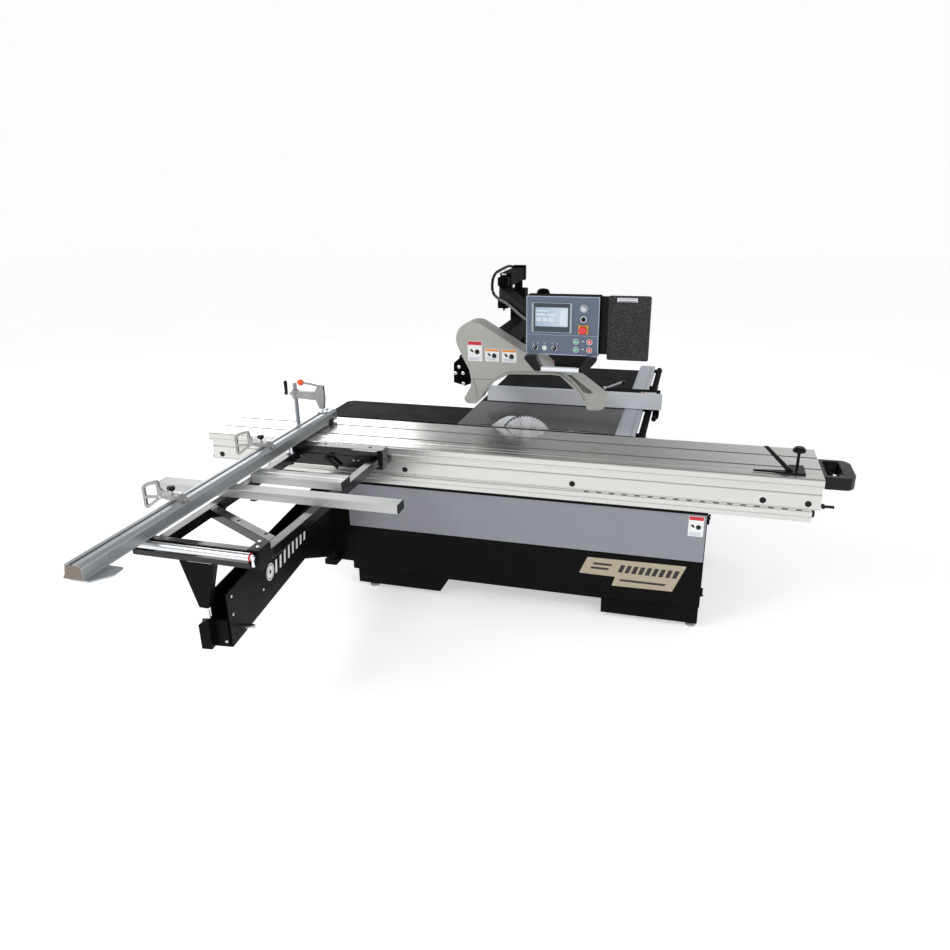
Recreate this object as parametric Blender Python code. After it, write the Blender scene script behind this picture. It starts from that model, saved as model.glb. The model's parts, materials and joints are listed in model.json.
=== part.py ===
"""Sliding-table panel saw with a crosscut outrigger, an overhead guard and a boom-mounted panel.

The machine is laid out in its own terms: X runs along the sliding carriage towards the operator's
end, Y runs from the operator's side to the back, and heights are measured from the table top.
MACHINE_ORIGIN then puts the middle of the footprint, at floor level, at the world's origin.
"""
import bpy
import bmesh
from math import atan2, cos, hypot, pi, radians, sin
from mathutils import Matrix, Vector

# ---------------------------------------------------------------- driving dimensions (metres)
GAP = 0.0003                 # clearance between neighbouring pieces
TABLE_HEIGHT = 0.885         # floor to table top
FLOOR = -TABLE_HEIGHT

CARRIAGE_LENGTH = 3.2
CARRIAGE_WIDTH = 0.45
CARRIAGE_DEPTH = 0.160
LIP_HEIGHT = 0.047
LIP_OVERHANG = 0.0235
SLOT_CENTRES = (0.146, 0.311)
BEAM_LEFT = -1.25
BEAM_RIGHT = 1.567
BEAM_TOP = -0.167
BEAM_BOTTOM = -0.221

CABINET_LEFT = -0.802
CABINET_RIGHT = 1.105
CABINET_FRONT = 0.060
CABINET_REAR = 1.020
CABINET_TOP = BEAM_BOTTOM - 0.0005
CABINET_BOTTOM = -0.775
SHEET = 0.004                # cabinet sheet metal
PLINTH_BOTTOM = -0.857

TABLE_LEFT = -0.290
TABLE_RIGHT = 0.601
TABLE_FRONT = 0.472
TABLE_BACK = 0.990
TABLE_PLATE = 0.028
OUTFEED_LEFT = -1.115
OUTFEED_BACK = 0.820
EXTENSION_BACK = 2.045
RAIL_RIGHT = 0.706
RAIL_BACK = 2.205
BAR_X = 0.738
BAR_Z = -0.030
BAR_RADIUS = 0.020

BLADE_X = 0.112
BLADE_Y = 0.490
BLADE_Z = -0.080
BLADE_RADIUS = 0.150
BLADE_THICKNESS = 0.0032
BLADE_TEETH = 48
MOTOR_Z = -0.420
ARBOR_PULLEY_RADIUS = 0.030
MOTOR_PULLEY_RADIUS = 0.045
SCORING_X = 0.360
SCORING_Z = -0.058
SCORING_RADIUS = 0.060

HOOD_FRONT = 0.430
HOOD_BACK = 0.565
COLUMN_LEFT = -0.365
COLUMN_RIGHT = -0.255
COLUMN_FRONT = 2.100
COLUMN_TOP = 0.550

BOOM_X = -0.315
BOOM_BASE_Y = 2.150
ELBOW_Y = 1.700
WRIST = (0.205, 0.430)
CABLE_RADIUS = 0.0095
ARM_2_ANGLE = atan2(WRIST[0] - BOOM_X, ELBOW_Y - WRIST[1])
ARM_2_LENGTH = hypot(WRIST[0] - BOOM_X, ELBOW_Y - WRIST[1])

BOX_LEFT = 0.144
BOX_RIGHT = 0.515
BOX_FRONT = 0.300
BOX_BACK = 0.385
BOX_BOTTOM = 0.457
BOX_TOP = 0.754
BUTTON_RADIUS = 0.011

FENCE_LEFT = -1.082
FENCE_RIGHT = -0.996
FENCE_FAR = 0.387
FENCE_JOINT = -1.520
FENCE_NEAR = -1.657
FENCE_BOTTOM = 0.010
FENCE_TOP = 0.070
FENCE_PIVOT = (-1.040, -0.100)
FLIP_STOPS = (-0.333, -1.049)

FRAME_TOP = -0.0405
FRAME_BOTTOM = -0.085
FRAME_NEAR = -1.165
TUBE = 0.045
ROLLER_Y = -1.297
ROLLER_Z = -0.020
ROLLER_RADIUS = 0.0165
LEG_X = -0.793
LEG_Y = -1.290
ROD_BOTTOM = -0.319

SWING_PIVOT = (-0.900, 0.0)
SWING_END = (-0.7575, -1.264)
SWING_ANGLE = atan2(SWING_END[0] - SWING_PIVOT[0], SWING_PIVOT[1] - SWING_END[1])
SWING_LENGTH = hypot(SWING_END[0] - SWING_PIVOT[0], SWING_PIVOT[1] - SWING_END[1])
SWING_TOP = -0.2225
SWING_BOTTOM = -0.462

CLAMP_X = -1.115
CLAMP_Y = SLOT_CENTRES[0]
CLAMP_HEAD = 0.155           # post to plunger

MACHINE_ORIGIN = Vector((-0.0725, -(FENCE_NEAR + RAIL_BACK) / 2, TABLE_HEIGHT))

for old in list(bpy.data.objects):
    bpy.data.objects.remove(old, do_unlink=True)


# ---------------------------------------------------------------- materials
def paint(name, colour, roughness, metallic):
    """Return a Principled BSDF material, made once for each name."""
    found = bpy.data.materials.get(name)
    if found:
        return found
    made = bpy.data.materials.new(name)
    made.use_nodes = True
    shader = made.node_tree.nodes["Principled BSDF"]
    shader.inputs["Base Color"].default_value = (*colour, 1.0)
    shader.inputs["Roughness"].default_value = roughness
    shader.inputs["Metallic"].default_value = metallic
    made.diffuse_color = (*colour, 1.0)
    return made


BLACK = paint("black_powder_coat", (0.012, 0.012, 0.013), 0.45, 0.0)
GREY = paint("grey_paint", (0.33, 0.35, 0.38), 0.45, 0.0)
HOOD_GREY = paint("guard_grey", (0.42, 0.42, 0.39), 0.5, 0.0)
ALUMINIUM = paint("anodised_aluminium", (0.75, 0.76, 0.77), 0.3, 1.0)
IRON = paint("ground_iron", (0.28, 0.28, 0.29), 0.3, 1.0)
STEEL = paint("bright_steel", (0.62, 0.63, 0.65), 0.25, 1.0)
CHROME = paint("chrome", (0.8, 0.8, 0.82), 0.12, 1.0)
PLASTIC = paint("black_plastic", (0.02, 0.02, 0.02), 0.5, 0.0)
RUBBER = paint("black_rubber", (0.015, 0.015, 0.015), 0.8, 0.0)
BLUE = paint("panel_blue", (0.10, 0.13, 0.20), 0.4, 0.0)
RED = paint("red_plastic", (0.75, 0.04, 0.05), 0.35, 0.0)
GREEN = paint("green_plastic", (0.05, 0.45, 0.25), 0.35, 0.0)
MOTOR_BLUE = paint("motor_paint", (0.08, 0.10, 0.13), 0.5, 0.0)


# ---------------------------------------------------------------- shape tools
def new_object(mesh):
    """Link a working object that holds the mesh."""
    made = bpy.data.objects.new("working", mesh)
    bpy.context.scene.collection.objects.link(made)
    return made


def from_bmesh(shape):
    """Turn a bmesh into a closed mesh with its faces pointing out."""
    bmesh.ops.recalc_face_normals(shape, faces=shape.faces)
    mesh = bpy.data.meshes.new("shape")
    shape.to_mesh(mesh)
    shape.free()
    return mesh


AXIS_ORDER = {"x": (2, 0, 1), "y": (0, 2, 1), "z": (0, 1, 2)}


def spot(axis, first, second, along):
    """Put two outline values and a distance along the axis in X, Y, Z order."""
    values = (first, second, along)
    return Vector(values[i] for i in AXIS_ORDER[axis])


def prism(axis, outline, start, end):
    """Extrude an outline along an axis: (y, z) along x, (x, z) along y, (x, y) along z."""
    shape = bmesh.new()
    ends = []
    for along in (start, end):
        ends.append([shape.verts.new(spot(axis, a, b, along)) for a, b in outline])
    shape.faces.new(ends[0])
    shape.faces.new(ends[1][::-1])
    count = len(outline)
    for i in range(count):
        following = (i + 1) % count
        shape.faces.new((ends[0][i], ends[0][following], ends[1][following], ends[1][i]))
    return from_bmesh(shape)


def box(x0, x1, y0, y1, z0, z1):
    """A plain block between two corners."""
    return prism("z", [(x0, y0), (x1, y0), (x1, y1), (x0, y1)], z0, z1)


def arc(centre_a, centre_b, radius, first, last, steps):
    """Points of an arc, with angles in degrees."""
    turns = [radians(first + (last - first) * i / steps) for i in range(steps + 1)]
    return [(centre_a + radius * cos(t), centre_b + radius * sin(t)) for t in turns]


def circle(centre_a, centre_b, radius, sides):
    """Points of a whole circle."""
    return arc(centre_a, centre_b, radius, 0, 360 - 360 / sides, sides - 1)


def cylinder(axis, centre_a, centre_b, radius, start, end, sides=20):
    """A round bar along an axis."""
    return prism(axis, circle(centre_a, centre_b, radius, sides), start, end)


def turned(axis, centre_a, centre_b, profile, sides=20):
    """Turn a profile of (radius, along) steps about an axis."""
    shape = bmesh.new()
    rings = []
    for radius, along in profile:
        ring = circle(centre_a, centre_b, radius, sides)
        rings.append([shape.verts.new(spot(axis, a, b, along)) for a, b in ring])
    shape.faces.new(rings[0])
    shape.faces.new(rings[-1][::-1])
    for lower, upper in zip(rings, rings[1:]):
        for i in range(sides):
            following = (i + 1) % sides
            shape.faces.new((lower[i], lower[following], upper[following], upper[i]))
    return from_bmesh(shape)


def combine(operation, base, others):
    """Boolean the other meshes with the base, one after another."""
    for other in others:
        body = new_object(base)
        tool = new_object(other)
        modifier = body.modifiers.new("boolean", "BOOLEAN")
        modifier.operation = operation
        modifier.solver = "EXACT"
        modifier.object = tool
        graph = bpy.context.evaluated_depsgraph_get()
        base = bpy.data.meshes.new_from_object(body.evaluated_get(graph))
        bpy.data.objects.remove(body)
        bpy.data.objects.remove(tool)
    return base


def join(base, *others):
    return combine("UNION", base, others)


def cut(base, *others):
    return combine("DIFFERENCE", base, others)


def tube_along(points, radius, sides=8):
    """A round cable through the points, closed at both ends."""
    curve = bpy.data.curves.new("route", "CURVE")
    curve.dimensions = "3D"
    curve.bevel_depth = radius
    curve.bevel_resolution = sides // 4
    curve.use_fill_caps = True
    spline = curve.splines.new("POLY")
    spline.points.add(len(points) - 1)
    for point, place in zip(spline.points, points):
        point.co = (*place, 1.0)
    holder = bpy.data.objects.new("route", curve)
    bpy.context.scene.collection.objects.link(holder)
    graph = bpy.context.evaluated_depsgraph_get()
    made = bpy.data.meshes.new_from_object(holder.evaluated_get(graph))
    bpy.data.objects.remove(holder)
    shape = bmesh.new()
    shape.from_mesh(made)
    bmesh.ops.remove_doubles(shape, verts=shape.verts, dist=0.00001)
    return from_bmesh(shape)


def smooth_route(knots, steps):
    """Catmull-Rom points through the knots."""
    places = [Vector(k) for k in knots]
    padded = [places[0] * 2 - places[1]] + places + [places[-1] * 2 - places[-2]]
    route = []
    for i in range(1, len(padded) - 2):
        before, here, ahead, after = padded[i - 1:i + 3]
        for step in range(steps):
            t = step / steps
            route.append(0.5 * (2 * here + (ahead - before) * t
                                + (2 * before - 5 * here + 4 * ahead - after) * t ** 2
                                + (3 * here - before - 3 * ahead + after) * t ** 3))
    return route + [places[-1]]


def publish(name, mesh, look, origin=(0.0, 0.0, 0.0), turn=0.0):
    """Name a finished piece, with its origin on its joint's axis and its turn about Z."""
    mesh.transform(Matrix.Translation(-Vector(origin)))
    mesh.materials.clear()
    mesh.materials.append(look)
    mesh.name = name
    piece = bpy.data.objects.new(name, mesh)
    piece.location = Vector(origin) + MACHINE_ORIGIN
    piece.rotation_euler = (0.0, 0.0, turn)
    mesh.shade_smooth()
    mesh.set_sharp_from_angle(angle=radians(30))
    bpy.context.scene.collection.objects.link(piece)


def publish_local(name, mesh, look, pivot, turn):
    """As publish, for a mesh drawn about its own pivot with Z still the machine's height."""
    piece = bpy.data.objects.new(name, mesh)
    mesh.materials.clear()
    mesh.materials.append(look)
    mesh.name = name
    piece.location = Vector((*pivot, 0.0)) + MACHINE_ORIGIN
    piece.rotation_euler = (0.0, 0.0, turn)
    mesh.shade_smooth()
    mesh.set_sharp_from_angle(angle=radians(30))
    bpy.context.scene.collection.objects.link(piece)


# ---------------------------------------------------------------- cabinet and base
def build_cabinet():
    front = box(CABINET_LEFT, CABINET_RIGHT, CABINET_FRONT, CABINET_FRONT + SHEET,
                CABINET_BOTTOM, CABINET_TOP)
    publish("cabinet_front", front, GREY)

    inner_front = CABINET_FRONT + SHEET + GAP
    inner_right = CABINET_RIGHT - SHEET
    left_outline = [(inner_front, CABINET_BOTTOM), (CABINET_REAR, CABINET_BOTTOM),
                    (CABINET_REAR, CABINET_TOP), (OUTFEED_BACK, CABINET_TOP),
                    (OUTFEED_BACK, -0.030 - GAP), (TABLE_FRONT, -0.030 - GAP),
                    (TABLE_FRONT, CABINET_TOP), (inner_front, CABINET_TOP)]
    left_end = prism("x", left_outline, CABINET_LEFT, CABINET_LEFT + SHEET)
    under_table = -0.060 - GAP
    rear_outline = [(CABINET_LEFT, CABINET_BOTTOM), (inner_right, CABINET_BOTTOM),
                    (inner_right, CABINET_TOP), (TABLE_RIGHT, CABINET_TOP),
                    (TABLE_RIGHT, under_table), (TABLE_LEFT, under_table),
                    (TABLE_LEFT, CABINET_TOP), (CABINET_LEFT, CABINET_TOP)]
    rear = prism("y", rear_outline, CABINET_REAR - SHEET, CABINET_REAR)
    floor = box(CABINET_LEFT, inner_right, inner_front, CABINET_REAR, CABINET_BOTTOM,
                CABINET_BOTTOM + SHEET)
    publish("cabinet_shell", join(left_end, rear, floor), BLACK)

    hinge_x = CABINET_RIGHT + 0.0085
    hinge_y = CABINET_FRONT + 0.012
    door = box(CABINET_RIGHT + GAP, CABINET_RIGHT + GAP + SHEET, CABINET_FRONT + 0.006,
               CABINET_REAR - 0.006, CABINET_BOTTOM + 0.010, CABINET_TOP - 0.012)
    knuckles = [cylinder("z", hinge_x, hinge_y, 0.006, z, z + 0.045, 12) for z in (-0.30, -0.70)]
    pull = box(CABINET_RIGHT + 0.002, CABINET_RIGHT + 0.022, 0.900, 0.915, -0.520, -0.420)
    publish("service_door", join(door, *knuckles, pull), BLACK, (hinge_x, hinge_y, -0.5))


def build_plinth(name, left, right_top, right_bottom, foot_x):
    """A foot frame under the cabinet with a levelling foot at the front and one at the rear."""
    top = CABINET_BOTTOM - GAP
    outline = [(left, PLINTH_BOTTOM), (right_bottom, PLINTH_BOTTOM), (right_top, top), (left, top)]
    body = prism("y", outline, CABINET_FRONT, CABINET_REAR - 0.02)
    inside = box(left + 0.006, right_bottom - 0.006, CABINET_FRONT + 0.006, CABINET_REAR - 0.026,
                 PLINTH_BOTTOM - 0.01, top - 0.006)
    body = cut(body, inside)
    feet = []
    x = foot_x
    for y in (CABINET_FRONT + 0.0325, CABINET_REAR - 0.0525):
        profile = [(0.024, FLOOR), (0.024, FLOOR + 0.008), (0.009, FLOOR + 0.012),
                   (0.009, PLINTH_BOTTOM + 0.004)]
        feet.append(box(left + 0.001, right_bottom - 0.001, y - 0.031, y + 0.031,
                        PLINTH_BOTTOM, PLINTH_BOTTOM + 0.008))
        feet.append(turned("z", x, y, profile, 14))
    publish(name, join(body, *feet), BLACK)


def build_beam():
    outline = [(0.020, BEAM_BOTTOM), (0.255, BEAM_BOTTOM), (0.255, BEAM_TOP)]
    rail_top = -CARRIAGE_DEPTH - GAP
    for y in (0.210, 0.050):
        outline += [(y + 0.020, BEAM_TOP), (y + 0.020, rail_top), (y, rail_top), (y, BEAM_TOP)]
    outline.append((0.020, BEAM_TOP))
    body = prism("x", outline, BEAM_LEFT, BEAM_RIGHT)
    hollow = box(BEAM_LEFT - 0.01, BEAM_RIGHT + 0.01, 0.028, 0.247, -0.214, -0.174)
    publish("fixed_beam", cut(body, hollow), ALUMINIUM)


def build_tables():
    plate = box(TABLE_LEFT, TABLE_RIGHT, TABLE_FRONT, TABLE_BACK, -TABLE_PLATE, 0.0)
    ribs = [box(TABLE_LEFT, TABLE_RIGHT, TABLE_BACK - 0.016, TABLE_BACK, -0.060, -0.010),
            box(TABLE_LEFT, TABLE_LEFT + 0.016, 0.560, TABLE_BACK, -0.060, -0.010),
            box(TABLE_RIGHT - 0.016, TABLE_RIGHT, 0.560, TABLE_BACK, -0.060, -0.010)]
    blade_slot = box(-0.158, 0.468, 0.4812, 0.4965, -0.05, 0.01)
    insert_relief = box(-0.158, 0.468, 0.460, 0.490, -0.05, -0.006)
    body = cut(join(plate, *ribs), blade_slot, insert_relief)
    publish("main_table", body, IRON)

    corner = 0.03
    outfeed = [(OUTFEED_LEFT, TABLE_FRONT), (TABLE_LEFT - GAP, TABLE_FRONT),
               (TABLE_LEFT - GAP, OUTFEED_BACK), (OUTFEED_LEFT + corner, OUTFEED_BACK),
               (OUTFEED_LEFT, OUTFEED_BACK - corner)]
    pocket = box(OUTFEED_LEFT + 0.035, TABLE_LEFT - 0.006, TABLE_FRONT + 0.006,
                 OUTFEED_BACK - 0.006, -0.040, -0.006)
    publish("outfeed_table", cut(prism("z", outfeed, -0.030, 0.0), pocket), BLACK)
    extension = box(TABLE_LEFT, TABLE_RIGHT, TABLE_BACK + GAP, EXTENSION_BACK, -0.030, 0.0)
    pocket = box(TABLE_LEFT + 0.006, TABLE_RIGHT - 0.006, TABLE_BACK + 0.006,
                 EXTENSION_BACK - 0.006, -0.040, -0.006)
    publish("rip_extension_table", cut(extension, pocket), BLACK)

    rail = box(TABLE_RIGHT + GAP, RAIL_RIGHT, TABLE_FRONT - 0.005, RAIL_BACK, -0.045, 0.0)
    brackets = [box(RAIL_RIGHT - 0.01, BAR_X, y, y + 0.03, BAR_Z - 0.010, BAR_Z + 0.010)
                for y in (0.56, 1.10, 1.65, 2.15)]
    bar = cylinder("y", BAR_X, BAR_Z, BAR_RADIUS, TABLE_FRONT - 0.005, RAIL_BACK, 16)
    publish("rip_rail", join(rail, *brackets, bar), ALUMINIUM)


def build_column():
    post = box(COLUMN_LEFT, COLUMN_RIGHT, COLUMN_FRONT, RAIL_BACK, FLOOR + 0.005, COLUMN_TOP)
    hollow = box(COLUMN_LEFT + 0.005, COLUMN_RIGHT - 0.005, COLUMN_FRONT + 0.005,
                 RAIL_BACK - 0.005, FLOOR + 0.02, COLUMN_TOP - 0.01)
    cable_hole = cylinder("y", -0.31, FLOOR + 0.20, 0.015, RAIL_BACK - 0.02, RAIL_BACK + 0.02, 12)
    foot = box(COLUMN_LEFT - 0.06, COLUMN_RIGHT + 0.06, COLUMN_FRONT - 0.10, RAIL_BACK,
               FLOOR, FLOOR + 0.012)
    shelf = box(COLUMN_LEFT, TABLE_RIGHT - 0.25, EXTENSION_BACK - 0.06, COLUMN_FRONT + 0.01,
                -0.075, -0.030 - GAP)
    body = cut(join(post, foot, shelf), hollow, cable_hole)
    swivel = cylinder("z", BOOM_X, BOOM_BASE_Y, 0.030, COLUMN_TOP - 0.005, 0.600, 20)
    publish("support_column", join(body, swivel), BLACK)

    beam = box(-0.300, -0.200, HOOD_BACK + 0.010, COLUMN_FRONT - GAP, 0.250, 0.372)
    hollow = box(-0.295, -0.205, HOOD_BACK + 0.020, COLUMN_FRONT - 0.01, 0.256, 0.366)
    vent = cylinder("y", -0.25, 0.31, 0.015, COLUMN_FRONT - 0.03, COLUMN_FRONT + 0.01, 12)
    plate_outline = [(-0.283, 0.372), (-0.332, 0.330), (-0.334, 0.218), (-0.268, 0.200),
                     (-0.170, 0.240), (-0.110, 0.372)]
    plate = prism("y", plate_outline, HOOD_BACK + 0.003, HOOD_BACK + 0.012)
    body = join(cut(beam, hollow, vent), plate)
    publish("guard_beam", body, BLACK)


def build_pivot_housing():
    back = box(-0.935, CABINET_LEFT - GAP, 0.0603, 0.200, -0.730, CABINET_TOP - 0.001)
    lugs = [box(-0.935, -0.865, -0.030, 0.070, -0.722, -0.690),
            box(-0.935, -0.865, -0.030, 0.070, -0.243, CABINET_TOP - 0.001)]
    pin = cylinder("z", *SWING_PIVOT, 0.0125, -0.718, -0.230, 16)
    pocket = box(-0.929, CABINET_LEFT - 0.006, 0.072, 0.210, -0.724, -0.230)
    publish("swing_pivot_housing", join(cut(back, pocket), *lugs, pin), BLACK)


# ---------------------------------------------------------------- saw unit below the table
def build_trunnion():
    plate = prism("y", [(-0.16, -0.640), (0.46, -0.640), (0.46, -0.090), (0.390, -0.090),
                        (0.390, -0.040), (0.330, -0.040), (0.330, -0.090), (0.245, -0.090),
                        (0.245, -0.600), (-0.020, -0.600), (-0.020, -0.090), (-0.16, -0.090)],
                  0.615, 0.629)
    parts = [plate]
    for x in (-0.172, 0.460):
        outline = arc(BLADE_Y, 0.0, 0.310, -86, -36, 8) + arc(BLADE_Y, 0.0, 0.270, -36, -86, 8)
        parts.append(prism("x", outline, x, x + 0.0125))
    boss = cylinder("y", SCORING_X, SCORING_Z, 0.017, 0.520, 0.620, 18)
    parts.append(boss)
    bore = cylinder("y", SCORING_X, SCORING_Z, 0.0084, 0.500, 0.640, 16)
    body = cut(join(*parts), bore)
    publish("saw_trunnion", body, IRON, (BLADE_X, BLADE_Y, 0.0))


def build_carrier():
    plate = prism("y", [(-0.080, -0.525), (0.275, -0.525), (0.275, -0.050), (-0.045, -0.050),
                        (-0.080, -0.120)], 0.596, 0.6147)
    housing = cylinder("y", BLADE_X, BLADE_Z, 0.024, 0.505, 0.561, 20)
    rib = box(BLADE_X - 0.017, BLADE_X + 0.017, 0.505, 0.600, -0.150, -0.115)
    web = box(BLADE_X - 0.008, BLADE_X + 0.008, 0.510, 0.556, -0.120, -0.098)
    knife_arm = box(-0.078, -0.046, 0.4921, 0.600, -0.220, -0.180)
    motor = cylinder("y", BLADE_X, MOTOR_Z, 0.075, 0.610, 0.780, 24)
    cowl = cylinder("y", BLADE_X, MOTOR_Z, 0.068, 0.775, 0.800, 24)
    terminal_box = box(BLADE_X + 0.04, BLADE_X + 0.105, 0.660, 0.740, MOTOR_Z - 0.03, MOTOR_Z + 0.03)
    arbor_bore = cylinder("y", BLADE_X, BLADE_Z, 0.0125, 0.490, 0.630, 18)
    shaft_bore = cylinder("y", BLADE_X, MOTOR_Z, 0.0105, 0.580, 0.640, 16)
    body = join(plate, housing, rib, web, knife_arm, motor, cowl, terminal_box)
    publish("saw_carrier_motor", cut(body, arbor_bore, shaft_bore), MOTOR_BLUE,
            (BLADE_X, BLADE_Y, BLADE_Z))

    shaft_profile = [(0.010, 0.632), (0.010, 0.5905), (MOTOR_PULLEY_RADIUS, 0.590),
                     (MOTOR_PULLEY_RADIUS, 0.565)]
    publish("motor_pulley", turned("y", BLADE_X, MOTOR_Z, shaft_profile, 24), STEEL,
            (BLADE_X, 0.58, MOTOR_Z))

    belt_gap = 0.0006
    belt = 0.004
    span = BLADE_Z - MOTOR_Z
    lean = (MOTOR_PULLEY_RADIUS - ARBOR_PULLEY_RADIUS) / span * 180 / pi

    def loop(extra):
        top = arc(BLADE_X, BLADE_Z, ARBOR_PULLEY_RADIUS + extra, lean, 180 - lean, 12)
        bottom = arc(BLADE_X, MOTOR_Z, MOTOR_PULLEY_RADIUS + extra, 180 - lean, 360 + lean, 14)
        return top + bottom

    outside = prism("y", loop(belt_gap + belt), 0.568, 0.587)
    inside = prism("y", loop(belt_gap), 0.560, 0.595)
    publish("drive_belt", cut(outside, inside), RUBBER)


def build_blades():
    profile = [(0.020, 0.478), (0.020, 0.4879), (0.015, 0.4881), (0.015, 0.4918),
               (0.030, 0.4920), (0.030, 0.5000), (0.0120, 0.5010), (0.0120, 0.5640),
               (ARBOR_PULLEY_RADIUS, 0.5645), (ARBOR_PULLEY_RADIUS, 0.590), (0.0120, 0.5905),
               (0.0120, 0.5940)]
    publish("saw_arbor", turned("y", BLADE_X, BLADE_Z, profile, 20), STEEL,
            (BLADE_X, BLADE_Y, BLADE_Z))

    def toothed(centre_x, centre_z, radius, teeth, depth):
        """A saw blade's outline, each tooth leaning towards the operator's end."""
        outline = []
        for i in range(teeth):
            root = 2 * pi * i / teeth
            tip = root + 2 * pi / teeth * 0.25
            outline.append((centre_x + (radius - depth) * cos(root),
                            centre_z + (radius - depth) * sin(root)))
            outline.append((centre_x + radius * cos(tip), centre_z + radius * sin(tip)))
        return outline

    half = BLADE_THICKNESS / 2
    disc = prism("y", toothed(BLADE_X, BLADE_Z, BLADE_RADIUS, BLADE_TEETH, 0.006),
                 BLADE_Y - half, BLADE_Y + half)
    bore = cylinder("y", BLADE_X, BLADE_Z, 0.0153, BLADE_Y - 0.01, BLADE_Y + 0.01, 20)
    publish("main_blade", cut(disc, bore), CHROME, (BLADE_X, BLADE_Y, BLADE_Z))

    scoring = prism("y", toothed(SCORING_X, SCORING_Z, SCORING_RADIUS, 20, 0.005),
                    BLADE_Y - half, BLADE_Y + half)
    spindle = turned("y", SCORING_X, SCORING_Z,
                     [(0.014, 0.480), (0.014, 0.500), (0.008, 0.501), (0.008, 0.612)], 16)
    publish("scoring_blade", join(scoring, spindle), CHROME, (SCORING_X, BLADE_Y, SCORING_Z))

    inner = BLADE_RADIUS + 0.005
    crescent = arc(BLADE_X, BLADE_Z, inner, 112, 214, 16)
    crescent += [(-0.050, -0.222), (-0.078, -0.222), (-0.100, -0.140)]
    crescent += arc(BLADE_X, BLADE_Z, 0.216, 188, 158, 5)
    crescent += [(BLADE_X - 0.150, BLADE_Z + 0.121), (BLADE_X - 0.105, BLADE_Z + 0.142)]
    publish("riving_knife", prism("y", crescent, 0.4886, 0.4914), STEEL)


# ---------------------------------------------------------------- overhead guard
def build_hood():
    outline = arc(-0.176, 0.492, 0.097, 190, 62, 10)
    outline += [(0.115, 0.434), (0.258, 0.402), (0.270, 0.386), (0.346, 0.349), (0.512, 0.229)]
    outline += arc(0.510, 0.182, 0.041, 40, -78, 6)
    outline += [(0.459, 0.138), (0.451, 0.146), (0.429, 0.195), (0.373, 0.255), (0.302, 0.318),
                (0.254, 0.322), (0.023, 0.313), (-0.067, 0.262), (-0.120, 0.203), (-0.147, 0.154)]
    outline += [(-0.164, 0.138), (-0.209, 0.137)]
    outline += arc(-0.205, 0.164, 0.027, 240, 170, 3)
    outline += [(-0.194, 0.234), (-0.191, 0.277), (-0.201, 0.328), (-0.239, 0.398)]
    body = prism("y", outline, HOOD_FRONT, HOOD_BACK)
    wall = 0.004
    cavity_outline = [(-0.062, 0.255), (0.023, 0.300), (0.254, 0.310), (0.300, 0.305),
                      (0.330, 0.330), (0.254, 0.392), (0.110, 0.424), (-0.108, 0.552),
                      (-0.180, 0.580), (-0.262, 0.505), (-0.232, 0.410), (-0.192, 0.330),
                      (-0.184, 0.230), (-0.215, 0.160), (-0.155, 0.150), (-0.120, 0.190)]
    cavity = prism("y", cavity_outline, HOOD_FRONT + wall, HOOD_BACK - wall)
    slot = prism("y", [(0.338, 0.327), (0.362, 0.325), (0.484, 0.236), (0.462, 0.228),
                       (0.430, 0.236), (0.385, 0.280)], HOOD_FRONT - 0.01, HOOD_BACK + 0.01)
    publish("guard_hood", cut(body, cavity, slot), HOOD_GREY)


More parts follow.
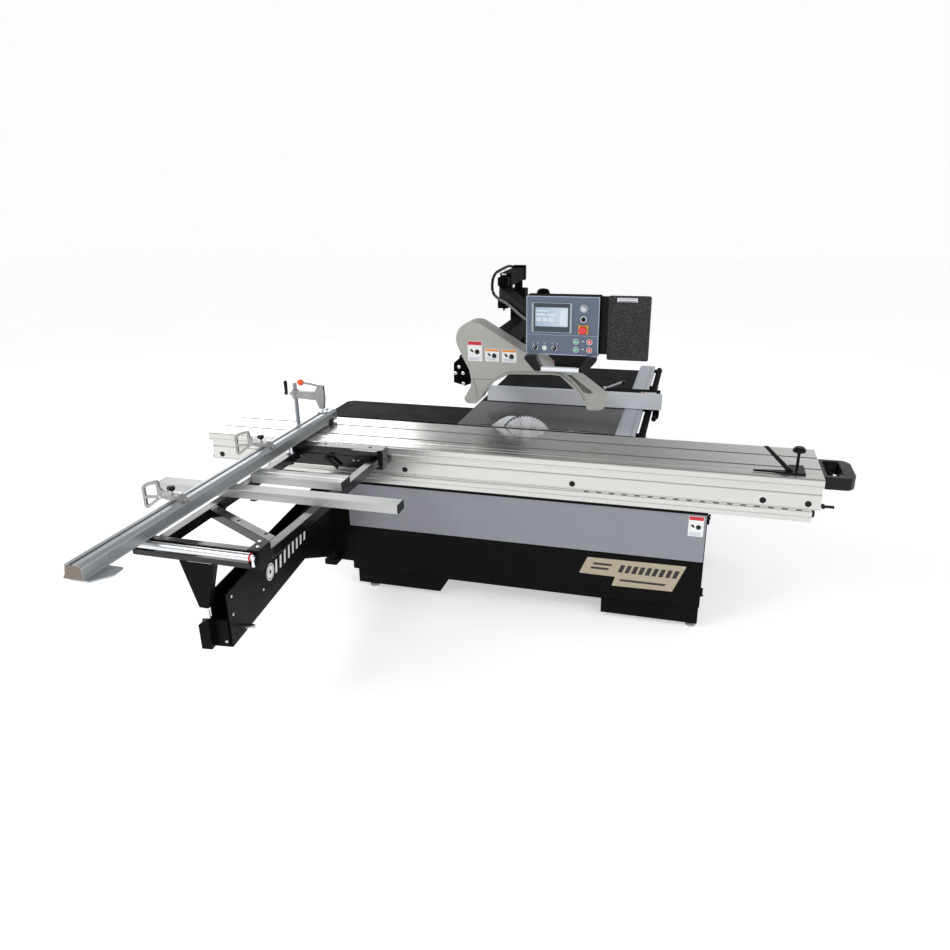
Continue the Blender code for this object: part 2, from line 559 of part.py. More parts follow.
# ---------------------------------------------------------------- boom and control panel
def build_boom():
    tube = box(-0.355, -0.275, ELBOW_Y + 0.060, RAIL_BACK - 0.030, 0.615, 0.700)
    swivel = cylinder("z", BOOM_X, BOOM_BASE_Y, 0.030, 0.600 + GAP, 0.620, 20)
    tail = box(-0.360, -0.270, RAIL_BACK - 0.045, RAIL_BACK, 0.608, 0.712)
    web = box(-0.355, -0.275, ELBOW_Y + 0.050, ELBOW_Y + 0.095, 0.475, 0.700)
    upper_lug = box(-0.350, -0.280, ELBOW_Y - 0.040, ELBOW_Y + 0.055, 0.625, 0.680)
    lower_lug = box(-0.350, -0.280, ELBOW_Y - 0.040, ELBOW_Y + 0.055, 0.475, 0.545)
    pin = cylinder("z", BOOM_X, ELBOW_Y, 0.009, 0.462, 0.694, 12)
    body = join(tube, swivel, tail, web, upper_lug, lower_lug, pin)
    publish("boom_arm_1", body, BLACK, (BOOM_X, BOOM_BASE_Y, 0.6))

    bar = box(-0.035, 0.035, -ARM_2_LENGTH + 0.020, -0.030, 0.552, 0.618)
    knuckle = cylinder("z", 0.0, 0.0, 0.034, 0.5455, 0.6245, 20)
    wrist = cylinder("z", 0.0, -ARM_2_LENGTH, 0.032, 0.552, 0.636, 20)
    swivel_post = cylinder("z", 0.0, -ARM_2_LENGTH, 0.022, 0.630, 0.750, 20)
    cap = turned("z", 0.0, -ARM_2_LENGTH, [(0.034, 0.737), (0.034, 0.750), (0.031, 0.761),
                                           (0.023, 0.769), (0.010, 0.772)], 20)
    bore = cylinder("z", 0.0, 0.0, 0.0095, 0.50, 0.65, 14)
    body = cut(join(bar, knuckle, wrist, swivel_post, cap), bore)
    publish_local("boom_arm_2", body, BLACK, (BOOM_X, ELBOW_Y), ARM_2_ANGLE)

    rear_route = smooth_route([(-0.3705, 2.190, 0.700), (-0.380, 2.100, 0.712),
                               (-0.388, 1.950, 0.708), (-0.392, 1.800, 0.700),
                               (-0.391, 1.700, 0.674), (-0.383, 1.640, 0.632),
                               (-0.374, 1.612, 0.600)], 4)
    publish("boom_cable_rear", tube_along(rear_route, CABLE_RADIUS), RUBBER)
    front_route = smooth_route([(-0.086, -0.073, 0.591), (-0.078, -0.110, 0.572),
                                (-0.060, -0.220, 0.560), (-0.048, -0.400, 0.566),
                                (-0.047, -0.700, 0.572), (-0.047, -1.000, 0.574),
                                (-0.047, -1.240, 0.584)], 4)
    publish_local("boom_cable_front", tube_along(front_route, CABLE_RADIUS), RUBBER,
                  (BOOM_X, ELBOW_Y), ARM_2_ANGLE)


BUTTON_PLACES = {
    "green_button_upper": (0.402, 0.531), "green_button_lower": (0.403, 0.490),
    "red_button_upper": (0.470, 0.530), "red_button_lower": (0.470, 0.489),
    "estop_button": (0.436, 0.590), "key_switch": (0.436, 0.642), "speed_knob": (0.436, 0.694),
    "selector_left": (0.194, 0.495), "selector_right": (0.293, 0.493),
}


def build_control_box():
    shell = box(BOX_LEFT, BOX_RIGHT, BOX_FRONT, BOX_BACK, BOX_BOTTOM, BOX_TOP)
    wall = 0.003
    hollow = box(BOX_LEFT + wall, BOX_RIGHT - wall, BOX_FRONT + wall, BOX_BACK - wall,
                 BOX_BOTTOM + wall, BOX_TOP - wall)
    gland_hole = cylinder("y", BOX_RIGHT - 0.06, BOX_BOTTOM + 0.04, 0.012, BOX_BACK - 0.02,
                          BOX_BACK + 0.02, 12)
    body = cut(shell, hollow, gland_hole)
    stems = [cylinder("y", x, z, 0.0083, BOX_FRONT - 0.02, BOX_FRONT + 0.02, 14)
             for x, z in BUTTON_PLACES.values()]
    body = cut(body, *stems)
    collar = cylinder("z", *WRIST, 0.034, 0.645, 0.735, 20)
    bridge = box(WRIST[0] - 0.030, WRIST[0] + 0.030, BOX_BACK - 0.001, WRIST[1], 0.650, 0.730)
    bore = cylinder("z", *WRIST, 0.0225, 0.60, 0.80, 20)
    mount = cut(join(collar, bridge), bore)
    middle = (BOX_LEFT + BOX_RIGHT) / 2
    handle = []
    for side in (-1, 1):
        outline = [(0.183, BOX_BOTTOM + 0.003), (0.128, BOX_BOTTOM + 0.003), (0.096, 0.402),
                   (0.096, 0.382), (0.128, 0.380), (0.183, 0.440)]
        outline = [(middle + side * across, z) for across, z in outline]
        handle.append(prism("y", outline, 0.248, BOX_FRONT + 0.004))
    handle.append(cylinder("x", 0.262, 0.392, 0.0085, middle - 0.110, middle + 0.110, 14))
    handle.append(prism("y", [(0.255, BOX_BOTTOM + 0.002), (0.292, 0.424), (0.292, 0.396),
                              (0.478, 0.396), (0.478, BOX_BOTTOM + 0.002)], 0.304, 0.345))
    publish("control_box", join(body, mount, *handle), PLASTIC, (*WRIST, 0.6))

    board = box(0.553, 0.760, 0.330, 0.342, 0.437, 0.757)
    strap = box(BOX_RIGHT + GAP, 0.560, 0.335, 0.360, 0.462, 0.752)
    clip = box(0.595, 0.694, 0.322, 0.332, 0.725, 0.747)
    publish("clipboard", join(board, strap, clip), PLASTIC)


def build_controls():
    """Push buttons, emergency stop, key, knob and two selectors, each in its own hole."""
    front = BOX_FRONT
    stem = 0.0078
    for name, (x, z) in BUTTON_PLACES.items():
        look = STEEL
        profile = [(stem, front + 0.012), (stem, front - 0.0055), (BUTTON_RADIUS, front - 0.0060),
                   (BUTTON_RADIUS, front - 0.0105), (BUTTON_RADIUS - 0.002, front - 0.0125)]
        if name.startswith("green"):
            look = GREEN
        if name.startswith("red"):
            look = RED
        if name == "estop_button":
            look = RED
            profile = [(stem, front + 0.012), (stem, front - 0.012), (0.020, front - 0.0125),
                       (0.021, front - 0.024), (0.016, front - 0.030)]
        if name == "speed_knob":
            profile = [(stem, front + 0.012), (stem, front - 0.001), (0.0155, front - 0.0015),
                       (0.0135, front - 0.018), (0.012, front - 0.020)]
        mesh = turned("y", x, z, profile, 18)
        if name.startswith("selector"):
            look = PLASTIC
            mesh = join(mesh, box(x - 0.0035, x + 0.0035, front - 0.022, front - 0.008,
                                  z - 0.012, z + 0.012))
        if name == "key_switch":
            key = box(x - 0.0012, x + 0.0012, front - 0.030, front - 0.008, z - 0.008, z + 0.008)
            mesh = join(mesh, key)
        publish(name, mesh, look, (x, front, z))


# ---------------------------------------------------------------- sliding carriage
def build_carriage():
    lip = 0.010
    outline = arc(lip, -lip, lip, 180, 90, 4)
    for centre in SLOT_CENTRES:
        outline += [(centre - 0.007, 0.0), (centre - 0.007, -0.006), (centre - 0.012, -0.006),
                    (centre - 0.012, -0.016), (centre + 0.012, -0.016), (centre + 0.012, -0.006),
                    (centre + 0.007, -0.006), (centre + 0.007, 0.0)]
    outline += [(CARRIAGE_WIDTH, 0.0), (CARRIAGE_WIDTH, -0.018), (0.405, -0.045), (0.330, -0.050),
                (0.262, -CARRIAGE_DEPTH), (LIP_OVERHANG, -CARRIAGE_DEPTH),
                (LIP_OVERHANG, -LIP_HEIGHT), (0.006, -LIP_HEIGHT), (0.0, -LIP_HEIGHT + 0.006)]
    half = CARRIAGE_LENGTH / 2
    body = prism("x", outline, -half, half)
    hollow = prism("x", [(0.030, -0.153), (0.258, -0.153), (0.320, -0.046), (0.324, -0.026),
                         (0.030, -0.026)], -half - 0.01, half + 0.01)
    publish("carriage", cut(body, hollow), ALUMINIUM)

    handle = box(half + GAP, half + 0.145, 0.060, 0.320, -0.065, -0.005)
    fingers = box(half + 0.024, half + 0.112, 0.100, 0.282, -0.080, 0.010)
    publish("push_handle", cut(handle, fingers), PLASTIC)

    latch_z = -0.142
    lever = box(half + 0.004, half + 0.060, 0.034, 0.046, latch_z - 0.005, latch_z + 0.005)
    hub = cylinder("y", half + 0.012, latch_z, 0.010, 0.030, 0.050, 14)
    publish("carriage_latch", join(lever, hub), PLASTIC, (half + 0.012, 0.040, latch_z))

    shoe = [(1.290, 0.060), (1.440, 0.045), (1.521, 0.045), (1.521, 0.166), (1.455, 0.166),
            (1.440, 0.085)]
    base = prism("z", shoe, GAP, 0.008)
    blade = prism("y", [(1.440, 0.006), (1.470, 0.006), (1.347, 0.121), (1.326, 0.121)],
                  0.066, 0.078)
    knob = turned("z", 1.492, CLAMP_Y, [(0.007, 0.004), (0.007, 0.072), (0.014, 0.075),
                                        (0.030, 0.082), (0.030, 0.092), (0.020, 0.104)], 20)
    publish("edging_shoe", join(base, blade, knob), BLACK, (1.492, CLAMP_Y, 0.0))


# ---------------------------------------------------------------- crosscut outrigger
def build_outrigger():
    left = -1.060
    right = -0.545
    end_left = -1.086
    back = -0.040
    lip = ROLLER_Y - 0.007
    tray_bottom = -0.066
    tubes = [box(left, left + TUBE, FRAME_NEAR - 0.01, back, FRAME_BOTTOM, FRAME_TOP),
             box(right - TUBE, right, FRAME_NEAR - 0.01, back, FRAME_BOTTOM, FRAME_TOP),
             box(left, right, -0.385, -0.340, FRAME_BOTTOM, FRAME_TOP),
             box(end_left, right, FRAME_NEAR - TUBE, FRAME_NEAR, FRAME_BOTTOM, FRAME_TOP)]
    diagonal = prism("z", [(left + 0.01, -0.815), (left + 0.01, -0.865), (right - 0.01, -1.130),
                           (right - 0.01, -1.080)], FRAME_BOTTOM, FRAME_TOP)
    bracket = box(left, -0.535, -0.062, -GAP - 0.0002, -0.112, -0.004)
    tray = box(end_left, right - 0.02, lip, FRAME_NEAR - 0.02, tray_bottom, tray_bottom + 0.008)
    front_lip = box(end_left, right - 0.02, lip, lip + 0.005, tray_bottom, -0.043)
    end_block = box(right - TUBE, right + 0.006, ROLLER_Y + 0.021, FRAME_NEAR - 0.02, -0.086, -0.001)
    cheeks = [box(end_left, end_left + 0.010, lip, FRAME_NEAR - 0.02, tray_bottom, -0.006),
              box(right - 0.012, right - 0.004, ROLLER_Y - 0.014, ROLLER_Y + 0.025, -0.075, -0.006)]
    leg = prism("y", [(-0.876, -0.060), (-0.721, -0.060), (-0.775, -0.266), (-0.8165, -0.266)],
                LEG_Y - 0.016, LEG_Y + 0.016)
    jack = turned("z", LEG_X, LEG_Y, [(0.013, -0.260), (0.013, -0.280), (0.009, -0.281),
                                      (0.009, ROD_BOTTOM)], 14)
    pivot = cylinder("z", *FENCE_PIVOT, 0.016, -0.060, FENCE_BOTTOM - GAP, 18)
    bar_outer = box(-1.386, -0.185, -0.737, -0.665, FRAME_TOP - 0.0005, 0.0)
    bar_inner = box(-1.010, -0.535, -0.545, -0.455, FRAME_TOP - 0.0005, 0.0)
    body = join(tubes[0], *tubes[1:], diagonal, bracket, tray, front_lip, end_block, *cheeks,
                leg, jack, pivot, bar_outer, bar_inner)
    axle_holes = [cylinder("x", ROLLER_Y, ROLLER_Z, 0.0065, x, x + 0.03, 14)
                  for x in (end_left - 0.010, right - 0.020)]
    publish("outrigger_frame", cut(body, *axle_holes), BLACK)

    roller_left = end_left + 0.014
    roller_right = right - 0.018
    roller = cylinder("x", ROLLER_Y, ROLLER_Z, ROLLER_RADIUS, roller_left, roller_right, 20)
    axle = cylinder("x", ROLLER_Y, ROLLER_Z, 0.006, end_left + 0.002, right, 14)
    publish("outrigger_roller", join(roller, axle), ALUMINIUM,
            ((roller_left + roller_right) / 2, ROLLER_Y, ROLLER_Z))

    hub_x = -0.843
    hub_z = -0.062
    hub = cylinder("y", hub_x, hub_z, 0.013, -0.086, -0.062 - GAP, 16)
    grip = prism("y", [(hub_x - 0.008, hub_z + 0.006), (hub_x + 0.006, hub_z + 0.010),
                       (hub_x + 0.070, hub_z - 0.040), (hub_x + 0.062, hub_z - 0.054)],
                 -0.092, -0.078)
    publish("lock_lever", join(hub, grip), PLASTIC, (hub_x, -0.07, hub_z))


def fence_outline(inset):
    """The fence's section, drawn in by the inset, with its T-slot in the top."""
    slot = -1.040
    left = FENCE_LEFT + inset
    right = FENCE_RIGHT - inset
    top = FENCE_TOP - inset
    return [(left, FENCE_BOTTOM + inset), (right, FENCE_BOTTOM + inset), (right, top),
            (slot + 0.006, top), (slot + 0.006, top - 0.008), (slot - 0.006, top - 0.008),
            (slot - 0.006, top), (left, top)]


def build_fence():
    body = prism("y", fence_outline(0.0), FENCE_JOINT + GAP, FENCE_FAR)
    hollow = box(FENCE_LEFT + 0.008, FENCE_RIGHT - 0.008, FENCE_JOINT - 0.02, -0.300,
                 FENCE_BOTTOM + 0.006, FENCE_TOP - 0.014)
    publish("crosscut_fence", cut(body, hollow), ALUMINIUM, (*FENCE_PIVOT, 0.0))

    end = prism("y", fence_outline(0.0), FENCE_NEAR, FENCE_JOINT)
    tongue = box(FENCE_LEFT + 0.009, FENCE_RIGHT - 0.009, FENCE_JOINT - 0.01, -0.900,
                 FENCE_BOTTOM + 0.007, FENCE_TOP - 0.015)
    rest_plate = prism("z", [(FENCE_LEFT + 0.02, FENCE_NEAR + 0.004), (-0.977, FENCE_NEAR + 0.003),
                             (-0.928, -1.593), (-0.933, -1.530), (FENCE_LEFT + 0.02, -1.530)],
                       0.003, FENCE_BOTTOM + 0.001)
    publish("fence_extension", join(end, tongue, rest_plate), ALUMINIUM)


def build_flip_stop(number, y):
    """A slider clamped on the fence, and the loop that flips on a pin along the fence."""
    slider = box(-1.084, -1.010, y - 0.018, y + 0.018, FENCE_TOP + GAP, FENCE_TOP + 0.022)
    knob = turned("z", -1.063, y, [(0.005, FENCE_TOP + 0.018), (0.005, 0.106), (0.014, 0.108),
                                   (0.0165, 0.114), (0.0165, 0.118), (0.010, 0.124)], 14)
    pin_x = -1.110
    pin_z = 0.083
    ear = box(pin_x - 0.004, -1.076, y - 0.018, y + 0.018, FENCE_TOP + 0.004, FENCE_TOP + 0.020)
    pin = cylinder("y", pin_x, pin_z, 0.004, y - 0.010, y + 0.034, 12)
    publish(f"flip_stop_slider_{number}", join(slider, knob, ear, pin), STEEL, (0.0, y, 0.0))

    left = -1.216
    near = y + 0.0185
    outline = [(left, 0.014), (left + 0.014, 0.002), (pin_x + 0.009, 0.074),
               (pin_x + 0.009, 0.095), (left + 0.080, 0.143), (left, 0.128)]
    plate = prism("y", outline, near, near + 0.012)
    window = prism("y", [(left + 0.013, 0.088), (pin_x - 0.016, 0.096), (left + 0.073, 0.128),
                         (left + 0.013, 0.116)], y, y + 0.04)
    lower = prism("y", [(left + 0.013, 0.024), (pin_x - 0.022, 0.070), (pin_x - 0.022, 0.081),
                        (left + 0.013, 0.074)], y, y + 0.04)
    bore = cylinder("y", pin_x, pin_z, 0.0044, y, y + 0.04, 12)
    publish(f"flip_stop_arm_{number}", cut(plate, window, lower, bore), ALUMINIUM,
            (pin_x, y, pin_z))


# ---------------------------------------------------------------- hold-down clamp
def build_clamp():
    post = turned("z", CLAMP_X, CLAMP_Y, [(0.006, -0.013), (0.006, 0.0005), (0.019, 0.0008),
                                          (0.019, 0.008), (0.011, 0.010), (0.011, 0.276)], 18)
    publish("clamp_post", post, CHROME, (CLAMP_X, CLAMP_Y, 0.0))

    head_x = CLAMP_X + CLAMP_HEAD
    sleeve = cylinder("z", CLAMP_X, CLAMP_Y, 0.020, 0.190, 0.238, 20)
    arm_outline = [(CLAMP_X, 0.192), (head_x - 0.030, 0.186), (head_x - 0.012, 0.140),
                   (head_x + 0.012, 0.140), (head_x + 0.020, 0.200), (head_x + 0.018, 0.268),
                   (head_x - 0.014, 0.268), (head_x - 0.034, 0.232), (CLAMP_X, 0.232)]
    arm = prism("y", arm_outline, CLAMP_Y - 0.011, CLAMP_Y + 0.011)
    screw_boss = cylinder("x", CLAMP_Y, 0.214, 0.010, CLAMP_X - 0.030, CLAMP_X - 0.010, 14)
    bore = cylinder("z", CLAMP_X, CLAMP_Y, 0.0114, 0.15, 0.30, 20)
    plunger_bore = cylinder("z", head_x, CLAMP_Y, 0.0059, 0.10, 0.30, 14)
    lever_slot = box(head_x - 0.040, head_x + 0.030, CLAMP_Y - 0.005, CLAMP_Y + 0.005,
                     0.2415, 0.290)
    crank_bore = cylinder("x", CLAMP_Y, 0.214, 0.0054, CLAMP_X - 0.05, CLAMP_X - 0.015, 12)
    body = cut(join(sleeve, arm, screw_boss), bore, plunger_bore, lever_slot, crank_bore)
    publish("clamp_arm", body, STEEL, (CLAMP_X, CLAMP_Y, 0.214))

    plunger = turned("z", head_x, CLAMP_Y, [(0.017, 0.112), (0.017, 0.120), (0.0055, 0.123),
                                            (0.0055, 0.226)], 16)
    publish("clamp_plunger", plunger, CHROME, (head_x, CLAMP_Y, 0.12))

    pivot_z = 0.257
    lever = prism("y", [(head_x + 0.010, 0.250), (head_x + 0.012, 0.262), (head_x - 0.004, 0.272),
                        (head_x - 0.110, 0.282), (head_x - 0.110, 0.274), (head_x - 0.020, 0.252)],
                  CLAMP_Y - 0.0045, CLAMP_Y + 0.0045)
    ball = bmesh.new()
    bmesh.ops.create_uvsphere(ball, u_segments=14, v_segments=10, radius=0.0115)
    bmesh.ops.translate(ball, verts=ball.verts, vec=(head_x - 0.118, CLAMP_Y, 0.279))
    publish("clamp_lever", join(lever, from_bmesh(ball)), CHROME, (head_x, CLAMP_Y, pivot_z))

    shaft = cylinder("x", CLAMP_Y, 0.214, 0.005, CLAMP_X - 0.058, CLAMP_X - 0.016, 12)
    grip = cylinder("z", CLAMP_X - 0.056, CLAMP_Y, 0.0075, 0.208, 0.284, 14)
    publish("clamp_crank", join(shaft, grip), PLASTIC, (CLAMP_X - 0.04, CLAMP_Y, 0.214))


# ---------------------------------------------------------------- telescopic swing arm
def build_swing_arm():
    outline = [(-SWING_LENGTH, SWING_BOTTOM), (-0.47, SWING_BOTTOM), (-0.13, -0.620),
               (-0.02, -0.620), (-0.02, -0.250), (-0.055, -0.250), (-0.055, SWING_TOP),
               (-SWING_LENGTH, SWING_TOP)]
    body = prism("x", outline, -0.0375, 0.0375)
    channel = box(-0.0325, 0.0325, -SWING_LENGTH - 0.01, -0.100, SWING_BOTTOM + 0.008, -0.20)
    sleeve = cylinder("z", 0.0, 0.0, 0.031, -0.6895, -0.2435, 20)
    lock_pin = cylinder("x", -SWING_LENGTH + 0.105, -0.425, 0.009, 0.034, 0.086, 14)
    bore = cylinder("z", 0.0, 0.0, 0.0128, -0.75, -0.20, 18)
    body = cut(join(cut(body, channel), sleeve, lock_pin), bore)
    publish_local("swing_arm_outer", body, BLACK, SWING_PIVOT, SWING_ANGLE)

    bar_bottom = SWING_BOTTOM + 0.008 + GAP
    inner_top = ROD_BOTTOM - 0.003
    bar = box(-0.030, 0.030, -SWING_LENGTH - 0.008, -0.550, bar_bottom, -0.335)
    hollow = box(-0.025, 0.025, -SWING_LENGTH + 0.02, -0.540, bar_bottom + 0.005, -0.340)
    plate = box(-0.0750, 0.030, -SWING_LENGTH - 0.010, -SWING_LENGTH - 0.0012, -0.452, -0.335)
    block_outline = [(-0.0750, -0.452), (-0.0300, -0.452), (-0.0300, inner_top),
                     (-0.0470, inner_top), (-0.0750, -0.343)]
    block = prism("y", block_outline, -SWING_LENGTH - 0.043, -SWING_LENGTH - 0.002)
    body = join(cut(bar, hollow), plate, block)
    publish_local("swing_arm_inner", body, BLACK, SWING_PIVOT, SWING_ANGLE)


# ---------------------------------------------------------------- rip fence
def build_rip_fence():
    top_block = box(0.440, 0.800, 1.0305, 1.135, 0.0006, 0.0915)
    cheek = box(0.764, 0.800, 1.0305, 1.135, -0.060, 0.010)
    rod = cylinder("y", 0.780, -0.030, 0.005, 0.935, 1.040, 12)
    knob = cylinder("y", 0.780, -0.030, 0.014, 0.925, 0.945, 16)
    lever_post_hole = cylinder("z", 0.470, 1.083, 0.0085, 0.050, 0.120, 14)
    body = cut(join(top_block, cheek, rod, knob), lever_post_hole)
    publish("rip_fence_head", body, BLACK)

    fence_outline_yz = [(0.998, 0.003), (1.030, 0.003), (1.030, 0.095), (0.998, 0.095)]
    body = prism("x", fence_outline_yz, -0.250, 0.815)
    hollow = box(-0.26, 0.82, 1.002, 1.026, 0.007, 0.091)
    publish("rip_fence", cut(body, hollow), ALUMINIUM)

    hub = turned("z", 0.470, 1.083, [(0.008, 0.060), (0.008, 0.0925), (0.013, 0.0935),
                                     (0.012, 0.108)], 16)
    lean = prism("y", [(0.462, 0.098), (0.476, 0.096), (0.575, 0.138), (0.572, 0.148)],
                 1.077, 1.089)
    publish("rip_fence_lever", join(hub, lean), STEEL, (0.470, 1.083, 0.1))


build_cabinet()
build_plinth("plinth_left", -0.772, -0.232, -0.283, -0.690)
build_plinth("plinth_right", 0.611, CABINET_RIGHT, CABINET_RIGHT, 1.0745)
build_beam()
build_tables()
build_column()
build_pivot_housing()
build_trunnion()
build_carrier()
build_blades()
build_hood()
build_boom()
build_control_box()
build_controls()
build_carriage()
build_outrigger()
build_fence()
for count, place in enumerate(FLIP_STOPS, start=1):
    build_flip_stop(count, place)
build_clamp()
build_swing_arm()
build_rip_fence()
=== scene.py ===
"""Looks for the sliding-table panel saw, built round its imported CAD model.

Places are given in the machine's own terms, as in the CAD: X runs along the sliding carriage, Y from
the operator's side to the back, and Z is height from the table top. ORIGIN, read from the carriage,
moves them into the shared frame.
"""
import json
from math import atan2, cos, hypot, pi, radians, sin

import bmesh
import bpy
from mathutils import Matrix, Vector

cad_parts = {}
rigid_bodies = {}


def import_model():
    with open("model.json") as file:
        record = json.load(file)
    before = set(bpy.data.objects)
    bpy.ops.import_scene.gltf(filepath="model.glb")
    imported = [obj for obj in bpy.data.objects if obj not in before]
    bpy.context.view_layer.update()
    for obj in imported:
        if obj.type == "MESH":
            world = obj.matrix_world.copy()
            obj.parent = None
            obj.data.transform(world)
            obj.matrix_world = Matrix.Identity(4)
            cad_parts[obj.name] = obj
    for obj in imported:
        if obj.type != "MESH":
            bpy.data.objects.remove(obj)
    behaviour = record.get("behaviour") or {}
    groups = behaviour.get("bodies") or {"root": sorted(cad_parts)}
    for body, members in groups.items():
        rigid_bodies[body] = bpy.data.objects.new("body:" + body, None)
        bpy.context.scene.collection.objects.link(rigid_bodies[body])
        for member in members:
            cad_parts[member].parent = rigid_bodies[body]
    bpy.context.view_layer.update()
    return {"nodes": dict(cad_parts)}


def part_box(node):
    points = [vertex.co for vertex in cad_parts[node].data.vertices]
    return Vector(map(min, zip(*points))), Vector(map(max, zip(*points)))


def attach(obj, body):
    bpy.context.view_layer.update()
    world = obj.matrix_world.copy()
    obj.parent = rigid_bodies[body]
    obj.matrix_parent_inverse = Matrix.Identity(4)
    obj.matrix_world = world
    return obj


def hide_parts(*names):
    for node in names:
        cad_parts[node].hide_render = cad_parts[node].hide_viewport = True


for old in list(bpy.data.objects):
    bpy.data.objects.remove(old, do_unlink=True)

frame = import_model()
CARRIAGE_LOW, CARRIAGE_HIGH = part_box("carriage")
ORIGIN = Vector(((CARRIAGE_LOW.x + CARRIAGE_HIGH.x) / 2, CARRIAGE_LOW.y, CARRIAGE_HIGH.z))
FLOOR = -ORIGIN.z


# ---------------------------------------------------------------- camera, floor and light
def make_camera():
    yaw, pitch, roll = 0.2813, -0.359, -0.0161
    ahead = Vector((-sin(yaw) * cos(pitch), cos(yaw) * cos(pitch), sin(pitch)))
    level = Vector((cos(yaw), sin(yaw), 0.0))
    over = level.cross(ahead)
    right = cos(roll) * level + sin(roll) * over
    up = cos(roll) * over - sin(roll) * level
    data = bpy.data.cameras.new("camera")
    data.lens = 29.58
    data.sensor_width = 36.0
    data.clip_start = 0.05
    data.clip_end = 60.0
    camera = bpy.data.objects.new("camera", data)
    turn = Matrix((right, up, -ahead)).transposed().to_4x4()
    camera.matrix_world = Matrix.Translation((0.9161, -3.8764, 2.1745)) @ turn
    bpy.context.scene.collection.objects.link(camera)
    bpy.context.scene.camera = camera


def make_light(name, place, target, size, power, colour=(1.0, 1.0, 1.0)):
    data = bpy.data.lights.new(name, "AREA")
    data.shape = "RECTANGLE"
    data.size, data.size_y = size
    data.energy = power
    data.color = colour
    light = bpy.data.objects.new(name, data)
    light.location = place
    light.rotation_euler = (Vector(target) - Vector(place)).to_track_quat("-Z", "Y").to_euler()
    bpy.context.scene.collection.objects.link(light)


def make_world():
    world = bpy.data.worlds.new("studio")
    world.use_nodes = True
    tree = world.node_tree
    background = tree.nodes["Background"]
    place = tree.nodes.new("ShaderNodeTexCoord")
    split = tree.nodes.new("ShaderNodeSeparateXYZ")
    ramp = tree.nodes.new("ShaderNodeValToRGB")
    ramp.color_ramp.elements[0].position = 0.36
    ramp.color_ramp.elements[0].color = (0.98, 0.98, 0.985, 1.0)
    ramp.color_ramp.elements[1].position = 0.7
    ramp.color_ramp.elements[1].color = (0.38, 0.385, 0.4, 1.0)
    tree.links.new(place.outputs["Generated"], split.inputs[0])
    tree.links.new(split.outputs["Z"], ramp.inputs[0])

    # A darker gap between the softboxes behind the machine shades the middle of the table tops.
    bearing = tree.nodes.new("ShaderNodeMath")
    bearing.operation = "ARCTAN2"
    tree.links.new(split.outputs["X"], bearing.inputs[0])
    tree.links.new(split.outputs["Y"], bearing.inputs[1])
    gap = tree.nodes.new("ShaderNodeValToRGB")
    stops = gap.color_ramp.elements
    stops[0].position, stops[0].color = 0.0, (0.0, 0.0, 0.0, 1.0)
    stops[1].position, stops[1].color = 0.34, (1.0, 1.0, 1.0, 1.0)
    for at, shade in ((0.68, 1.0), (1.0, 0.0)):
        stops.new(at).color = (shade, shade, shade, 1.0)
    spread = tree.nodes.new("ShaderNodeMapRange")
    spread.inputs["From Min"].default_value = radians(-36)
    spread.inputs["From Max"].default_value = radians(12)
    tree.links.new(bearing.outputs[0], spread.inputs["Value"])
    tree.links.new(spread.outputs["Result"], gap.inputs[0])
    rise = tree.nodes.new("ShaderNodeMapRange")
    rise.inputs["From Min"].default_value = 0.21
    rise.inputs["From Max"].default_value = 0.3
    rise.inputs["To Max"].default_value = 0.94
    tree.links.new(split.outputs["Z"], rise.inputs["Value"])
    amount = tree.nodes.new("ShaderNodeMath")
    amount.operation = "MULTIPLY"
    tree.links.new(gap.outputs[0], amount.inputs[0])
    tree.links.new(rise.outputs["Result"], amount.inputs[1])
    sky = tree.nodes.new("ShaderNodeMix")
    sky.data_type = "RGBA"
    tree.links.new(amount.outputs[0], sky.inputs[0])
    tree.links.new(ramp.outputs[0], sky.inputs[6])
    sky.inputs[7].default_value = (0.13, 0.135, 0.14, 1.0)
    tree.links.new(sky.outputs[2], background.inputs["Color"])
    background.inputs["Strength"].default_value = 1.0
    bpy.context.scene.world = world


# ---------------------------------------------------------------- materials
def srgb(red, green, blue):
    """Screen colour, 0 to 255, as the linear values that shaders use."""
    return tuple(((v / 255 + 0.055) / 1.055) ** 2.4 if v > 10 else v / 255 / 12.92
                 for v in (red, green, blue))


